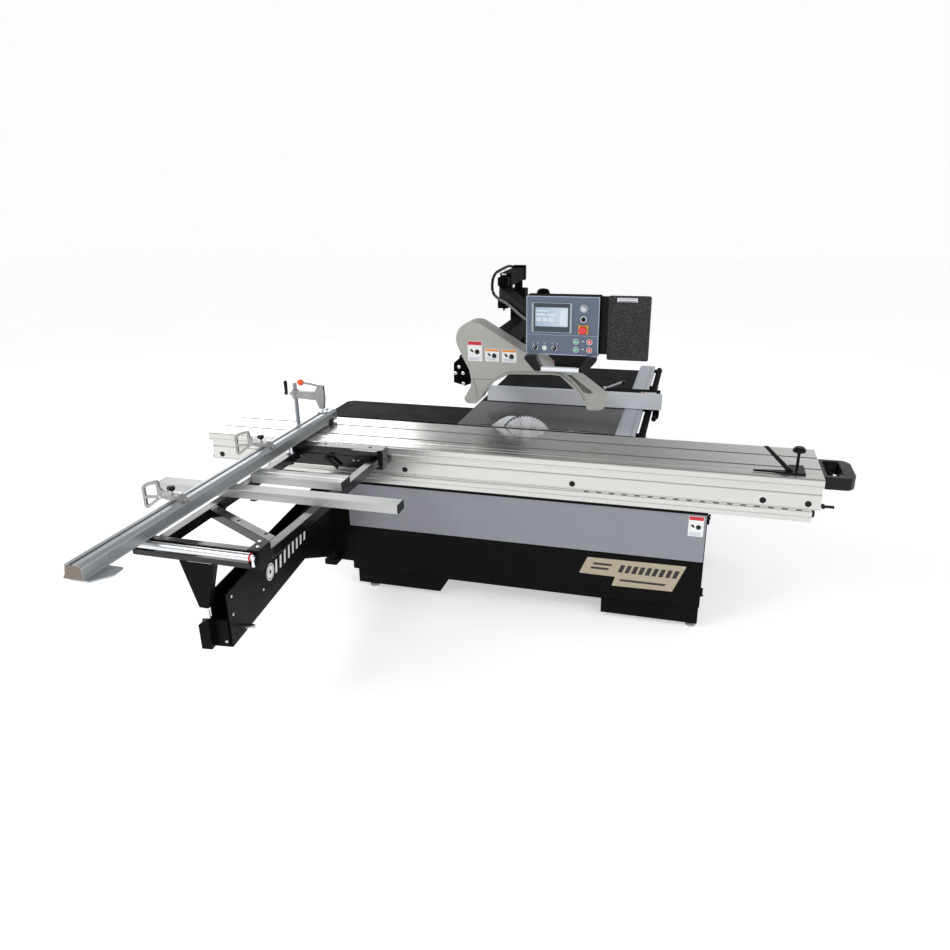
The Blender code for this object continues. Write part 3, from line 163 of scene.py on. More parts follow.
class Look:
    """One procedural material: a Principled shader with noise for colour, gloss and bump."""

    def __init__(self, name, colour, roughness, metallic=0.0, **fixed):
        self.material = bpy.data.materials.new(name)
        self.material.use_nodes = True
        self.tree = self.material.node_tree
        self.shader = self.tree.nodes["Principled BSDF"]
        self.colour = (*colour, 1.0)
        self.roughness = roughness
        self.shader.inputs["Base Color"].default_value = self.colour
        self.shader.inputs["Roughness"].default_value = roughness
        self.shader.inputs["Metallic"].default_value = metallic
        for socket, value in fixed.items():
            self.shader.inputs[socket.replace("_", " ")].default_value = value
        self.material.diffuse_color = self.colour
        self.place = self.tree.nodes.new("ShaderNodeTexCoord").outputs["Object"]

    def node(self, kind, **values):
        made = self.tree.nodes.new(kind)
        for key, value in values.items():
            if hasattr(made, key):
                setattr(made, key, value)
            else:
                made.inputs[key.replace("_", " ")].default_value = value
        return made

    def join(self, output, entry):
        self.tree.links.new(output, entry)

    def noise(self, scale, stretch=(1.0, 1.0, 1.0), detail=3.0, place=None):
        mapping = self.node("ShaderNodeMapping")
        mapping.inputs["Scale"].default_value = [scale * s for s in stretch]
        self.join(place or self.place, mapping.inputs["Vector"])
        texture = self.node("ShaderNodeTexNoise", Scale=1.0, Detail=detail, Roughness=0.55)
        self.join(mapping.outputs[0], texture.inputs["Vector"])
        return texture.outputs["Fac"]

    def remap(self, value, low, high, start=0.3, end=0.7):
        node = self.node("ShaderNodeMapRange")
        for entry, number in zip(("From Min", "From Max", "To Min", "To Max"),
                                 (start, end, low, high)):
            node.inputs[entry].default_value = number
        self.join(value, node.inputs["Value"])
        return node.outputs["Result"]

    def maths(self, operation, first, second=0.0, third=0.0):
        node = self.node("ShaderNodeMath", operation=operation)
        for entry, value in zip(node.inputs, (first, second, third)):
            if isinstance(value, (int, float)):
                entry.default_value = value
            else:
                self.join(value, entry)
        return node.outputs[0]

    def mix(self, factor, first, second, blend="MIX"):
        node = self.node("ShaderNodeMix", data_type="RGBA", blend_type=blend)
        sockets = [node.inputs[i] for i in (0, 6, 7)]
        for entry, value in zip(sockets, (factor, first, second)):
            if isinstance(value, (int, float)):
                entry.default_value = value
            elif isinstance(value, tuple):
                entry.default_value = value if len(value) == 4 else (*value, 1.0)
            else:
                self.join(value, entry)
        return node.outputs[2]

    def tint(self, value, spread, base=None):
        """Vary the colour by the given share either way."""
        low = tuple(max(0.0, c * (1 - spread)) for c in self.colour[:3])
        high = tuple(min(1.0, c * (1 + spread)) for c in self.colour[:3])
        result = self.mix(self.remap(value, 0.0, 1.0), low, high)
        self.join(result, self.shader.inputs["Base Color"])
        return result

    def gloss(self, value, spread):
        low = max(0.02, self.roughness - spread)
        self.join(self.remap(value, low, self.roughness + spread), self.shader.inputs["Roughness"])

    def bump(self, value, strength, distance):
        node = self.node("ShaderNodeBump", Strength=strength, Distance=distance)
        self.join(value, node.inputs["Height"])
        before = self.shader.inputs["Normal"]
        if before.is_linked:
            self.join(before.links[0].from_socket, node.inputs["Normal"])
        self.join(node.outputs[0], before)


def brushed(name, colour, roughness, along, spread=0.05, metallic=1.0):
    """Metal drawn or ground along one axis: long fine streaks over a slow drift of tone."""
    look = Look(name, colour, roughness, metallic)
    stretch = {"x": (0.0008, 1.0, 1.0), "y": (1.0, 0.0008, 1.0), "z": (1.0, 1.0, 0.004)}[along]
    streaks = look.noise(620.0, stretch, 3.0)
    drift = look.noise(9.0, tuple(0.06 if s < 1 else 1.0 for s in stretch), 2.0)
    both = look.maths("MULTIPLY_ADD", streaks, 0.35, look.maths("MULTIPLY", drift, 0.65))
    look.tint(both, spread)
    look.gloss(both, 0.03)
    look.bump(streaks, 0.015, 0.0001)
    return look.material


def powder_coat(name, colour, roughness=0.32, grain=700.0, depth=0.0001, drift=0.15, gleam=0.09):
    """Powder coat or sprayed paint: fine orange peel, and tone that drifts slightly."""
    look = Look(name, colour, roughness, Specular_IOR_Level=gleam)
    peel = look.noise(grain, detail=2.0)
    cloud = look.noise(7.0, detail=5.0)
    look.tint(cloud, drift)
    look.gloss(cloud, 0.06)
    look.bump(peel, 0.25, depth)
    return look.material


def cast_metal(name, colour, roughness, metallic=0.9):
    """Sand-cast metal, with a dull pitted skin."""
    look = Look(name, colour, roughness, metallic)
    pits = look.noise(420.0, detail=5.0)
    cloud = look.noise(22.0, detail=4.0)
    look.tint(cloud, 0.12)
    look.gloss(pits, 0.09)
    look.bump(pits, 0.35, 0.0005)
    return look.material


def polished(name, colour, roughness):
    """Chrome or turned steel with faint wiping marks."""
    look = Look(name, colour, roughness, 1.0)
    marks = look.noise(90.0, (1.0, 1.0, 0.2), 6.0)
    look.tint(marks, 0.05)
    look.gloss(marks, 0.05)
    look.bump(look.noise(900.0), 0.05, 0.0001)
    return look.material


def moulded(name, colour, roughness, grain=1100.0, drift=0.12, sheen=0.05, **fixed):
    """Moulded plastic with a fine texture."""
    look = Look(name, colour, roughness, 0.0, **fixed)
    cloud = look.noise(30.0, detail=3.0)
    look.tint(cloud, drift)
    look.gloss(cloud, sheen)
    look.bump(look.noise(grain, detail=2.0), 0.15, 0.0001)
    return look.material


def ground_iron():
    """Surface-ground cast iron: crossing arcs of the grinding wheel on a brownish grey."""
    look = Look("ground_iron", srgb(102, 98, 95), 0.24, 0.92)
    fine = look.noise(700.0, (1.0, 0.003, 1.0), 3.0)
    cloud = look.noise(4.0, (1.0, 0.5, 1.0), 3.0)
    pores = look.noise(1500.0, detail=1.0)
    look.tint(look.maths("MULTIPLY_ADD", fine, 0.35, look.maths("MULTIPLY", cloud, 0.65)), 0.1)
    look.gloss(cloud, 0.05)
    look.bump(fine, 0.04, 0.0001)
    look.bump(pores, 0.04, 0.0001)
    return look.material


def hammered():
    """Hammertone finish: small lumps that each catch the light."""
    look = Look("hammered_black", srgb(15, 15, 17), 0.24, Specular_IOR_Level=0.35)
    cells = look.node("ShaderNodeTexVoronoi", Scale=150.0, feature="SMOOTH_F1")
    look.join(look.place, cells.inputs["Vector"])
    fleck = look.noise(330.0, detail=4.0)
    speck = look.remap(fleck, 0.0, 1.0, 0.52, 0.68)
    toned = look.mix(speck, look.colour, srgb(84, 87, 92))
    look.join(toned, look.shader.inputs["Base Color"])
    look.gloss(fleck, 0.1)
    look.bump(cells.outputs["Distance"], 1.0, 0.004)
    look.bump(fleck, 0.6, 0.002)
    return look.material


def blade_steel():
    """Circular-ground saw blade with painted radial highlights: its colour and gloss change with the
    angle round the arbor.
    """
    look = Look("blade_steel", srgb(208, 210, 214), 0.3, 0.45)
    middle = ORIGIN + Vector((0.112, 0.49, -0.08))
    shift = look.node("ShaderNodeVectorMath", operation="SUBTRACT")
    look.join(look.place, shift.inputs[0])
    shift.inputs[1].default_value = middle
    split = look.node("ShaderNodeSeparateXYZ")
    look.join(shift.outputs[0], split.inputs[0])
    angle = look.maths("ARCTAN2", split.outputs["Z"], split.outputs["X"])
    highlight_sectors = look.maths("SINE", look.maths("MULTIPLY", angle, 9.0))
    highlight_rays = look.maths("SINE", look.maths("MULTIPLY", angle, 23.0))
    both = look.maths("MULTIPLY_ADD", highlight_sectors, 0.3, look.maths("MULTIPLY_ADD", highlight_rays, 0.2, 0.5))
    radius = look.node("ShaderNodeVectorMath", operation="LENGTH")
    look.join(shift.outputs[0], radius.inputs[0])
    rings = look.maths("SINE", look.maths("MULTIPLY", radius.outputs["Value"], 5200.0))
    # Painted highlights: the sectors and rays lighten and darken the colour round the arbor.
    look.tint(both, 0.06)
    look.gloss(both, 0.06)
    look.bump(rings, 0.02, 0.0001)
    return look.material


def display_glass():
    """A lit screen: pale blue-white, brighter towards one side."""
    look = Look("screen_glass", srgb(176, 192, 208), 0.18, 0.0, Coat_Weight=0.4)
    split = look.node("ShaderNodeSeparateXYZ")
    look.join(look.place, split.inputs[0])
    middle = ORIGIN.x + 0.275
    across = look.remap(split.outputs["X"], 0.0, 1.0, middle - 0.09, middle + 0.09)
    pale = look.mix(across, srgb(150, 168, 188), srgb(196, 208, 218))
    cloud = look.remap(look.noise(60.0, detail=1.0), 0.93, 1.0)
    toned = look.mix(1.0, pale, cloud, "MULTIPLY")
    look.join(toned, look.shader.inputs["Base Color"])
    look.join(toned, look.shader.inputs["Emission Color"])
    look.shader.inputs["Emission Strength"].default_value = 0.1
    look.bump(look.noise(700.0), 0.02, 0.0001)
    return look.material


BLACK = powder_coat("black_powder_coat", srgb(12, 12, 13), 0.4, gleam=0.06)
GLOSS_BLACK = powder_coat("gloss_black", srgb(15, 15, 16), 0.17, 900.0, gleam=0.45)
SATIN = powder_coat("satin_black", srgb(18, 18, 20), 0.34, 900.0, gleam=0.12)
TABLE_BLACK = powder_coat("table_black", srgb(17, 20, 24), 0.6, 500.0, 0.0003, 0.1, 0.05)
GREY = powder_coat("grey_paint", srgb(136, 138, 145), 0.36, 600.0, 0.0001, 0.03, 0.4)
MATT_BLACK = powder_coat("matt_black", srgb(10, 10, 11), 0.6, gleam=0.02)
ZINC = moulded("zinc_plate", srgb(196, 198, 199), 0.35, 500.0)
POST_METAL = brushed("post_metal", srgb(150, 156, 164), 0.2, "z", 0.06, 0.9)
HOOD_GREY = powder_coat("guard_grey", srgb(166, 167, 161), 0.44, 520.0, 0.0001, 0.04, 0.4)
MOTOR_PAINT = powder_coat("motor_paint", srgb(70, 82, 96), 0.45, 600.0, 0.0002, 0.1, 0.4)
ALONG_X = brushed("aluminium_along_x", srgb(210, 209, 205), 0.24, "x", 0.05, 0.9)
ALONG_Y = brushed("aluminium_along_y", srgb(174, 178, 180), 0.34, "y", 0.05, 0.72)
ANODISED = brushed("anodised_bar", srgb(190, 192, 190), 0.42, "x", 0.04, 0.6)
FENCE_FACE = brushed("anodised_fence", srgb(236, 240, 246), 0.4, "x", 0.04, 0.1)
RAIL_METAL = brushed("anodised_rail", srgb(204, 209, 216), 0.38, "y", 0.03, 0.3)
STEEL = polished("turned_steel", srgb(204, 206, 210), 0.22)
CHROME = polished("chrome", srgb(228, 230, 234), 0.1)
CAST = cast_metal("cast_aluminium", srgb(160, 160, 157), 0.38, 0.7)
IRON = ground_iron()
BLADE = blade_steel()
PLASTIC = moulded("black_plastic", srgb(20, 20, 21), 0.36, Specular_IOR_Level=0.2)
RUBBER = moulded("black_rubber", srgb(17, 17, 18), 0.5, 700.0, Specular_IOR_Level=0.2)
HOSE = moulded("cable_jacket", srgb(12, 12, 13), 0.42, 300.0, Specular_IOR_Level=0.12)
PANEL_BLUE = moulded("panel_blue", srgb(88, 98, 118), 0.32, 500.0, 0.03, 0.01, Coat_Weight=0.1)
PANEL_EDGE = brushed("panel_edge", srgb(168, 178, 194), 0.35, "x")
BEZEL = brushed("screen_bezel", srgb(168, 172, 178), 0.32, "z")
DARK_GLASS = moulded("dark_glass", srgb(52, 58, 68), 0.15, 300.0, 0.1)
SCREEN = display_glass()
PANE = moulded("screen_pane", srgb(206, 214, 222), 0.3, 300.0, 0.04)
RED = moulded("red_plastic", srgb(214, 52, 60), 0.3)
GREEN = moulded("green_plastic", srgb(60, 166, 130), 0.3)
YELLOW = moulded("yellow_plate", srgb(214, 176, 42), 0.35)
ORANGE = moulded("orange_ball", srgb(238, 84, 30), 0.25)
WHITE = moulded("white_print", srgb(232, 233, 232), 0.4, 500.0, 0.03)
# Black print; the roller cage's slot marks also use it as painted shade.
INK_AND_SHADE = moulded("black_print_and_shade", srgb(30, 30, 32), 0.5, 500.0)
SEAM = moulded("seam_shadow", srgb(96, 97, 92), 0.6, 500.0)
LABEL_RED = moulded("label_red", srgb(196, 34, 52), 0.42, 500.0, 0.05)
LABEL_ORANGE = moulded("label_orange", srgb(226, 140, 52), 0.42, 500.0, 0.05)
BRONZE = brushed("nameplate_metal", srgb(176, 166, 146), 0.36, "x", 0.07)


# ---------------------------------------------------------------- shape tools
AXIS_ORDER = {"x": (2, 0, 1), "y": (0, 2, 1), "z": (0, 1, 2)}


def spot(axis, first, second, along):
    values = (first, second, along)
    return Vector(values[i] for i in AXIS_ORDER[axis])


def from_bmesh(shape):
    bmesh.ops.recalc_face_normals(shape, faces=shape.faces)
    mesh = bpy.data.meshes.new("shape")
    shape.to_mesh(mesh)
    shape.free()
    return mesh


def prism(axis, outline, start, end):
    """Extrude an outline along an axis: (y, z) along x, (x, z) along y, (x, y) along z."""
    shape = bmesh.new()
    ends = [[shape.verts.new(spot(axis, a, b, along)) for a, b in outline]
            for along in (start, end)]
    shape.faces.new(ends[0])
    shape.faces.new(ends[1][::-1])
    count = len(outline)
    for i in range(count):
        after = (i + 1) % count
        shape.faces.new((ends[0][i], ends[0][after], ends[1][after], ends[1][i]))
    return from_bmesh(shape)


def band(axis, outer, inner, start, end):
    """A frame between two outlines that have as many points as each other."""
    shape = bmesh.new()
    rings = [[shape.verts.new(spot(axis, a, b, along)) for a, b in outline]
             for along, outline in ((start, outer), (end, outer), (end, inner), (start, inner))]
    count = len(outer)
    for here, ahead in zip(rings, rings[1:] + rings[:1]):
        for i in range(count):
            after = (i + 1) % count
            shape.faces.new((here[i], here[after], ahead[after], ahead[i]))
    return from_bmesh(shape)


def box(x0, x1, y0, y1, z0, z1):
    return prism("z", [(x0, y0), (x1, y0), (x1, y1), (x0, y1)], z0, z1)


def arc(centre_a, centre_b, radius, first, last, steps):
    turns = [radians(first + (last - first) * i / steps) for i in range(steps + 1)]
    return [(centre_a + radius * cos(t), centre_b + radius * sin(t)) for t in turns]


def circle(centre_a, centre_b, radius, sides):
    return arc(centre_a, centre_b, radius, 0, 360 - 360 / sides, sides - 1)


def rectangle(a0, a1, b0, b1):
    return [(a0, b0), (a1, b0), (a1, b1), (a0, b1)]


def rounded(outline, radius, steps=4):
    """The outline with its corners rounded off."""
    result = []
    count = len(outline)
    for i, point in enumerate(outline):
        here, before = Vector(point), Vector(outline[i - 1])
        after = Vector(outline[(i + 1) % count])
        back, ahead = before - here, after - here
        reach = min(radius, back.length * 0.48, ahead.length * 0.48)
        first = here + back.normalized() * reach
        last = here + ahead.normalized() * reach
        for step in range(steps + 1):
            t = step / steps
            result.append(tuple((1 - t) ** 2 * first + 2 * t * (1 - t) * here + t * t * last))
    return result


def turned(axis, centre_a, centre_b, profile, sides=32, lobes=0, depth=0.0):
    """Turn a profile of (radius, along) about an axis. Lobes make a star or scalloped rim."""
    shape = bmesh.new()
    rings = []
    for radius, along in profile:
        ring = []
        for i in range(sides):
            turn = 2 * pi * i / sides
            reach = radius * (1 + depth * cos(lobes * turn)) if lobes and radius > 0.009 else radius
            ring.append(shape.verts.new(spot(axis, centre_a + reach * cos(turn),
                                             centre_b + reach * sin(turn), along)))
        rings.append(ring)
    shape.faces.new(rings[0])
    shape.faces.new(rings[-1][::-1])
    for lower, upper in zip(rings, rings[1:]):
        for i in range(sides):
            after = (i + 1) % sides
            shape.faces.new((lower[i], lower[after], upper[after], upper[i]))
    return from_bmesh(shape)


def screw(axis, a, b, face, out, radius=0.008, height=0.005):
    """A button-head screw on a face, standing out along the axis by its sign."""
    profile = [(radius, 0.0), (radius, 0.35), (radius * 0.86, 0.75), (radius * 0.62, 1.0),
               (radius * 0.44, 1.0), (radius * 0.38, 0.45)]
    return turned(axis, a, b, [(r, face + out * height * t) for r, t in profile], 18)


def hex_bolt(axis, a, b, face, out, radius=0.008, height=0.006):
    """A hexagon bolt head with its washer."""
    washer = turned(axis, a, b, [(radius * 1.35, face), (radius * 1.35, face + out * 0.0015)], 24)
    head = turned(axis, a, b, [(radius, face + out * 0.0015), (radius, face + out * height),
                               (radius * 0.85, face + out * (height + 0.001))], 6)
    return [washer, head]


def combine(operation, base, others):
    for other in others:
        body = bpy.data.objects.new("working", base)
        tool = bpy.data.objects.new("tool", other)
        for item in (body, tool):
            bpy.context.scene.collection.objects.link(item)
        modifier = body.modifiers.new("boolean", "BOOLEAN")
        modifier.operation = operation
        modifier.solver = "EXACT"
        modifier.object = tool
        graph = bpy.context.evaluated_depsgraph_get()
        base = bpy.data.meshes.new_from_object(body.evaluated_get(graph))
        bpy.data.objects.remove(body)
        bpy.data.objects.remove(tool)
    return base


def cut(base, *others):
    return combine("DIFFERENCE", base, others)


def join(base, *others):
    return combine("UNION", base, others)


def tube(points, radius, sides=12):
    """A round bar through the points."""
    curve = bpy.data.curves.new("route", "CURVE")
    curve.dimensions = "3D"
    curve.bevel_depth = radius
    curve.bevel_resolution = sides // 4
    curve.use_fill_caps = True
    spline = curve.splines.new("POLY")
    spline.points.add(len(points) - 1)
    for point, place in zip(spline.points, points):
        point.co = (*place, 1.0)
    holder = bpy.data.objects.new("route", curve)
    bpy.context.scene.collection.objects.link(holder)
    graph = bpy.context.evaluated_depsgraph_get()
    made = bpy.data.meshes.new_from_object(holder.evaluated_get(graph))
    bpy.data.objects.remove(holder)
    shape = bmesh.new()
    shape.from_mesh(made)
    bmesh.ops.remove_doubles(shape, verts=shape.verts, dist=0.00001)
    return from_bmesh(shape)


def smooth_route(knots, steps):
    """Catmull-Rom points through the knots."""
    places = [Vector(k) for k in knots]
    padded = [places[0] * 2 - places[1]] + places + [places[-1] * 2 - places[-2]]
    route = []
    for i in range(1, len(padded) - 2):
        before, here, ahead, after = padded[i - 1:i + 3]
        for step in range(steps):
            t = step / steps
            route.append(0.5 * (2 * here + (ahead - before) * t
                                + (2 * before - 5 * here + 4 * ahead - after) * t ** 2
                                + (3 * here - before - 3 * ahead + after) * t ** 3))
    return route + [places[-1]]


def turned_about(pivot, turn):
    """From coordinates about a pivot to the machine's."""
    return Matrix.Translation((*pivot, 0.0)) @ Matrix.Rotation(turn, 4, "Z")


# ---------------------------------------------------------------- pieces
def weigh_normals(piece, keep_sharp):
    """Keep broad faces flat where a narrow chamfer meets them."""
    normals = piece.modifiers.new("normals", "WEIGHTED_NORMAL")
    normals.keep_sharp = keep_sharp
    normals.weight = 60


def soften(piece, width, segments=2):
    """Give edges a small radius that catches the light."""
    bevel = piece.modifiers.new("edges", "BEVEL")
    bevel.width = width
    bevel.segments = segments
    bevel.limit_method = "ANGLE"
    bevel.angle_limit = radians(32)
    bevel.miter_outer = "MITER_ARC"
    weigh_normals(piece, False)


def add(name, body, look, *shapes, bevel=0.0, segments=2, place=None, instead_of=(), sharp=32):
    """One piece that rides on a CAD body. A shape may come with its own look, as a pair."""
    shape = bmesh.new()
    looks = [look]
    for item in shapes:
        mesh, own = item if isinstance(item, tuple) else (item, look)
        if own not in looks:
            looks.append(own)
        first = len(shape.faces)
        shape.from_mesh(mesh)
        shape.faces.ensure_lookup_table()
        for face in shape.faces[first:]:
            face.material_index = looks.index(own)
        bpy.data.meshes.remove(mesh)
    mesh = bpy.data.meshes.new(name)
    shape.to_mesh(mesh)
    shape.free()
    if place is not None:
        mesh.transform(place)
    mesh.transform(Matrix.Translation(ORIGIN))
    for item in looks:
        mesh.materials.append(item)
    mesh.shade_smooth()
    piece = bpy.data.objects.new(name, mesh)
    bpy.context.scene.collection.objects.link(piece)
    if bevel:
        soften(piece, bevel, segments)
    else:
        mesh.set_sharp_from_angle(angle=radians(sharp))
        weigh_normals(piece, True)
    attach(piece, body)
    if instead_of:
        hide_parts(*instead_of)
    return piece


def finish_node(node, look, bevel=0.0, segments=2):
    """Give a CAD node its look, and round its edges."""
    piece = frame["nodes"][node]
    for slot in piece.material_slots:
        slot.material = look
    if not bevel:
        return
    weld = piece.modifiers.new("weld", "WELD")
    weld.merge_threshold = 0.00002
    flat = piece.modifiers.new("flat", "DECIMATE")
    flat.decimate_type = "DISSOLVE"
    flat.angle_limit = radians(0.6)
    soften(piece, bevel, segments)


def label(name, body, x0, x1, z0, z1, face, header):
    """A generic notice: a coloured head, a dark disc and grey bars where words would be."""
    top = z1 - (z1 - z0) * 0.2
    front = face - 0.0006
    plate = prism("y", rounded(rectangle(x0, x1, z0, z1), 0.004), face - 0.0001, front)
    head = prism("y", rounded(rectangle(x0 + 0.002, x1 - 0.002, top, z1 - 0.002), 0.002),
                 front, front - 0.0003)
    width = x1 - x0
    middle = (top + z0) / 2 + (top - z0) * 0.08
    disc_x = x0 + width * 0.66
    disc = turned("y", disc_x, middle, [(width * 0.17, front), (width * 0.17, front - 0.0004),
                                        (width * 0.07, front - 0.0004),
                                        (width * 0.06, front)], 28)
    wedge = prism("y", rounded([(x0 + width * 0.12, middle + width * 0.16),
                                (x0 + width * 0.3, middle + width * 0.18),
                                (x0 + width * 0.44, middle - width * 0.02),
                                (x0 + width * 0.3, middle - width * 0.06)], 0.004),
                  front, front - 0.0004)
    bars = [box(x0 + width * 0.1, x1 - width * (0.1 + 0.12 * (i % 2)), front - 0.0003, front,
                z0 + 0.006 + 0.006 * i, z0 + 0.0085 + 0.006 * i) for i in range(3)]
    add(name, body, WHITE, plate, (head, header), (disc, INK_AND_SHADE), (wedge, INK_AND_SHADE),
        *[(bar, PANEL_EDGE) for bar in bars])


make_camera()
make_world()


# ---------------------------------------------------------------- cabinet
def dress_cabinet():
    finish_node("cabinet_front", BLACK, 0.0012)
    finish_node("cabinet_shell", BLACK, 0.0015)
    finish_node("plinth_left", BLACK, 0.0015)
    finish_node("plinth_right", BLACK, 0.0015)
    finish_node("service_door", BLACK, 0.0012)
    finish_node("swing_pivot_housing", BLACK, 0.002)

    grey = prism("y", rectangle(-0.8045, 1.105, -0.505, -0.25), 0.0599, 0.0582)
    add("cabinet_grey_band", "base", GREY, grey, bevel=0.0008)
    hem = prism("y", rectangle(-0.802, 1.105, -0.7735, -0.77), 0.0599, 0.059)
    add("cabinet_hem", "base", BLACK, hem, bevel=0.0003)

    plate = [(0.532, -0.542), (1.03, -0.537), (0.969, -0.687), (0.663, -0.692),
             (0.678, -0.639), (0.491, -0.638)]
    inner = [(0.54, -0.549), (1.017, -0.544), (0.963, -0.68), (0.673, -0.685),
             (0.688, -0.632), (0.503, -0.631)]
    outer_line, inner_line = rounded(plate, 0.004), rounded(inner, 0.003)
    base = prism("y", outer_line, 0.0599, 0.0588)
    rim = band("y", outer_line, inner_line, 0.0588, 0.0585)
    slabs = []
    for i in range(9):
        left = 0.69 + 0.034 * i
        slabs.append(prism("y", rounded([(left, -0.612), (left + 0.022, -0.612),
                                         (left + 0.038, -0.568), (left + 0.016, -0.568)], 0.002),
                           0.0588, 0.0585))
    for start, end, z in ((0.56, 0.655, -0.575), (0.548, 0.64, -0.6), (0.7, 0.93, -0.655)):
        slabs.append(prism("y", rounded([(start, z - 0.006), (end, z - 0.006),
                                         (end + 0.006, z + 0.006), (start + 0.006, z + 0.006)],
                                        0.002), 0.0588, 0.0585))
    rivets = [screw("y", x, z, 0.0588, -1, 0.0035, 0.0012)
              for x, z in ((0.545, -0.548), (1.014, -0.546), (0.962, -0.68), (0.674, -0.683),
                           (0.506, -0.633))]
    add("nameplate", "base", BRONZE, base, rim, *[(slab, INK_AND_SHADE) for slab in slabs],
        *[(rivet, STEEL) for rivet in rivets])
    label("notice_cabinet", "base", 1.021, 1.094, -0.366, -0.258, 0.0582, LABEL_RED)

    for side, x in (("left", -0.69), ("right", 1.0745)):
        pads = []
        for y in (0.0925, 0.9675):
            pads.append(turned("z", x, y, [(0.0265, FLOOR), (0.0275, FLOOR + 0.002),
                                           (0.0275, FLOOR + 0.008), (0.024, FLOOR + 0.011),
                                           (0.011, FLOOR + 0.014)], 28))
            pads.append(turned("z", x, y, [(0.015, -0.8572), (0.015, -0.865)], 6))
        add("levelling_feet_" + side, "base", ZINC, *pads)

    hinges = []
    for z in (-0.255, -0.272, -0.7):
        hinges.append(prism("z", rounded(rectangle(1.111, 1.1235, 0.068, 0.076), 0.003), z, z + 0.008))
    add("door_hinge_leaves", "door", SATIN, *hinges, bevel=0.0008)
    rear_louvres = []
    for column in range(2):
        for row in range(9):
            x, z = 0.3 + 0.3 * column, -0.36 - 0.028 * row
            rear_louvres.append(prism("x", [(1.0199, z - 0.008), (1.027, z - 0.006),
                                            (1.027, z - 0.003), (1.0199, z + 0.008)],
                                      x, x + 0.24))
    add("motor_vent_louvres", "base", BLACK, *rear_louvres, bevel=0.0008)
    bolts = []
    for z in (-0.3, -0.69):
        for y in (0.09, 0.175):
            bolts += hex_bolt("x", y, z, -0.935, -1, 0.0075)
    add("pivot_housing_bolts", "base", SATIN, *bolts)


def dress_beam():
    front = [(0.0235, -0.221), (0.0205, -0.2185), (0.02, -0.215), (0.02, -0.1965),
             (0.0212, -0.195), (0.0212, -0.193), (0.02, -0.1915), (0.02, -0.172),
             (0.0212, -0.1685), (0.0235, -0.167)]
    outline = [(0.255, -0.221)] + front
    rails = [(0.05, -0.167), (0.05, -0.1604), (0.07, -0.1604), (0.07, -0.167),
             (0.21, -0.167), (0.21, -0.1604), (0.23, -0.1604), (0.23, -0.167),
             (0.255, -0.167)]
    body = prism("x", outline + rails, -1.25, 1.567)
    chambers = [box(-1.27, 1.59, y0, y1, -0.214, -0.174)
                for y0, y1 in ((0.028, 0.1), (0.104, 0.17), (0.174, 0.247))]
    add("beam_extrusion", "base", ALONG_X, cut(body, *chambers), instead_of=["fixed_beam"], sharp=12)
    cage = [box(-1.25, 1.565, 0.0245, 0.034, -0.1665, -0.1608)]
    # Painted shade: the dark slot marks stand for the openings in the cage.
    slots = [(prism("y", rounded(rectangle(x, x + 0.026, -0.1655, -0.1622), 0.0012),
                    0.0247, 0.0232), INK_AND_SHADE) for x in (0.505 + 0.062 * i for i in range(17))]
    add("roller_cage", "base", ALONG_X, *cage, *slots)
    stop = prism("z", rounded(rectangle(1.5672, 1.579, 0.024, 0.25), 0.003), -0.195, -0.1675)
    left = prism("z", rounded(rectangle(-1.262, -1.2502, 0.024, 0.25), 0.003), -0.195, -0.1675)
    add("beam_end_stops", "base", RUBBER, stop, left, bevel=0.001)


# ---------------------------------------------------------------- tables and rails
def dress_tables():
    finish_node("main_table", IRON, 0.001)
    finish_node("outfeed_table", TABLE_BLACK, 0.0015)
    finish_node("rip_extension_table", TABLE_BLACK, 0.0015)
    insert = prism("z", rounded(rectangle(-0.157, 0.467, 0.4723, 0.4808), 0.002), -0.0055, 0.0002)
    screws = [screw("z", x, 0.4765, 0.0001, 1, 0.0028, 0.0004) for x in (-0.145, 0.155, 0.455)]
    add("table_insert", "base", ALONG_X, insert, *[(s, INK_AND_SHADE) for s in screws], bevel=0.0004)

    rail = [(0.6013, -0.045), (0.706, -0.045), (0.706, -0.016), (0.702, -0.014), (0.702, -0.008),
            (0.706, -0.006), (0.706, -0.0015), (0.7045, 0.0), (0.6028, 0.0), (0.6013, -0.0015)]
    body = prism("y", rail, 0.467, 2.205)
    slot = box(0.68, 0.688, 0.46, 2.21, -0.004, 0.01)
    add("rip_rail_extrusion", "base", RAIL_METAL, cut(body, slot), instead_of=["rip_rail"], sharp=12)
    bar = turned("y", 0.738, -0.03, [(0.0185, 0.467), (0.02, 0.469), (0.02, 2.203),
                                      (0.0185, 2.205)], 36)
    brackets = []
    nuts = []
    for y in (0.56, 1.1, 1.65, 2.15):
        brackets.append(prism("y", rounded(rectangle(0.698, 0.738, -0.04, -0.02), 0.003), y, y + 0.03))
        nuts += hex_bolt("x", y + 0.015, -0.03, 0.7575, 1, 0.0065, 0.005)
    add("rip_guide_bar", "base", MATT_BLACK, bar, *brackets, *[(n, STEEL) for n in nuts])
    caps = [box(0.603, 0.7045, y0, y1, -0.0435, -0.0015) for y0, y1 in ((0.464, 0.4672),)]
    add("rip_rail_cap", "base", PLASTIC, *caps, bevel=0.001)

    ticks = []
    for i in range(150):
        y = 0.6 + 0.01 * i
        length = 0.014 if i % 10 == 0 else 0.01 if i % 5 == 0 else 0.006
        ticks.append(box(0.6045, 0.6045 + length, y - 0.0005, y + 0.0005, 0.0, 0.0002))
    add("rip_scale_marks", "base", INK_AND_SHADE, *ticks)


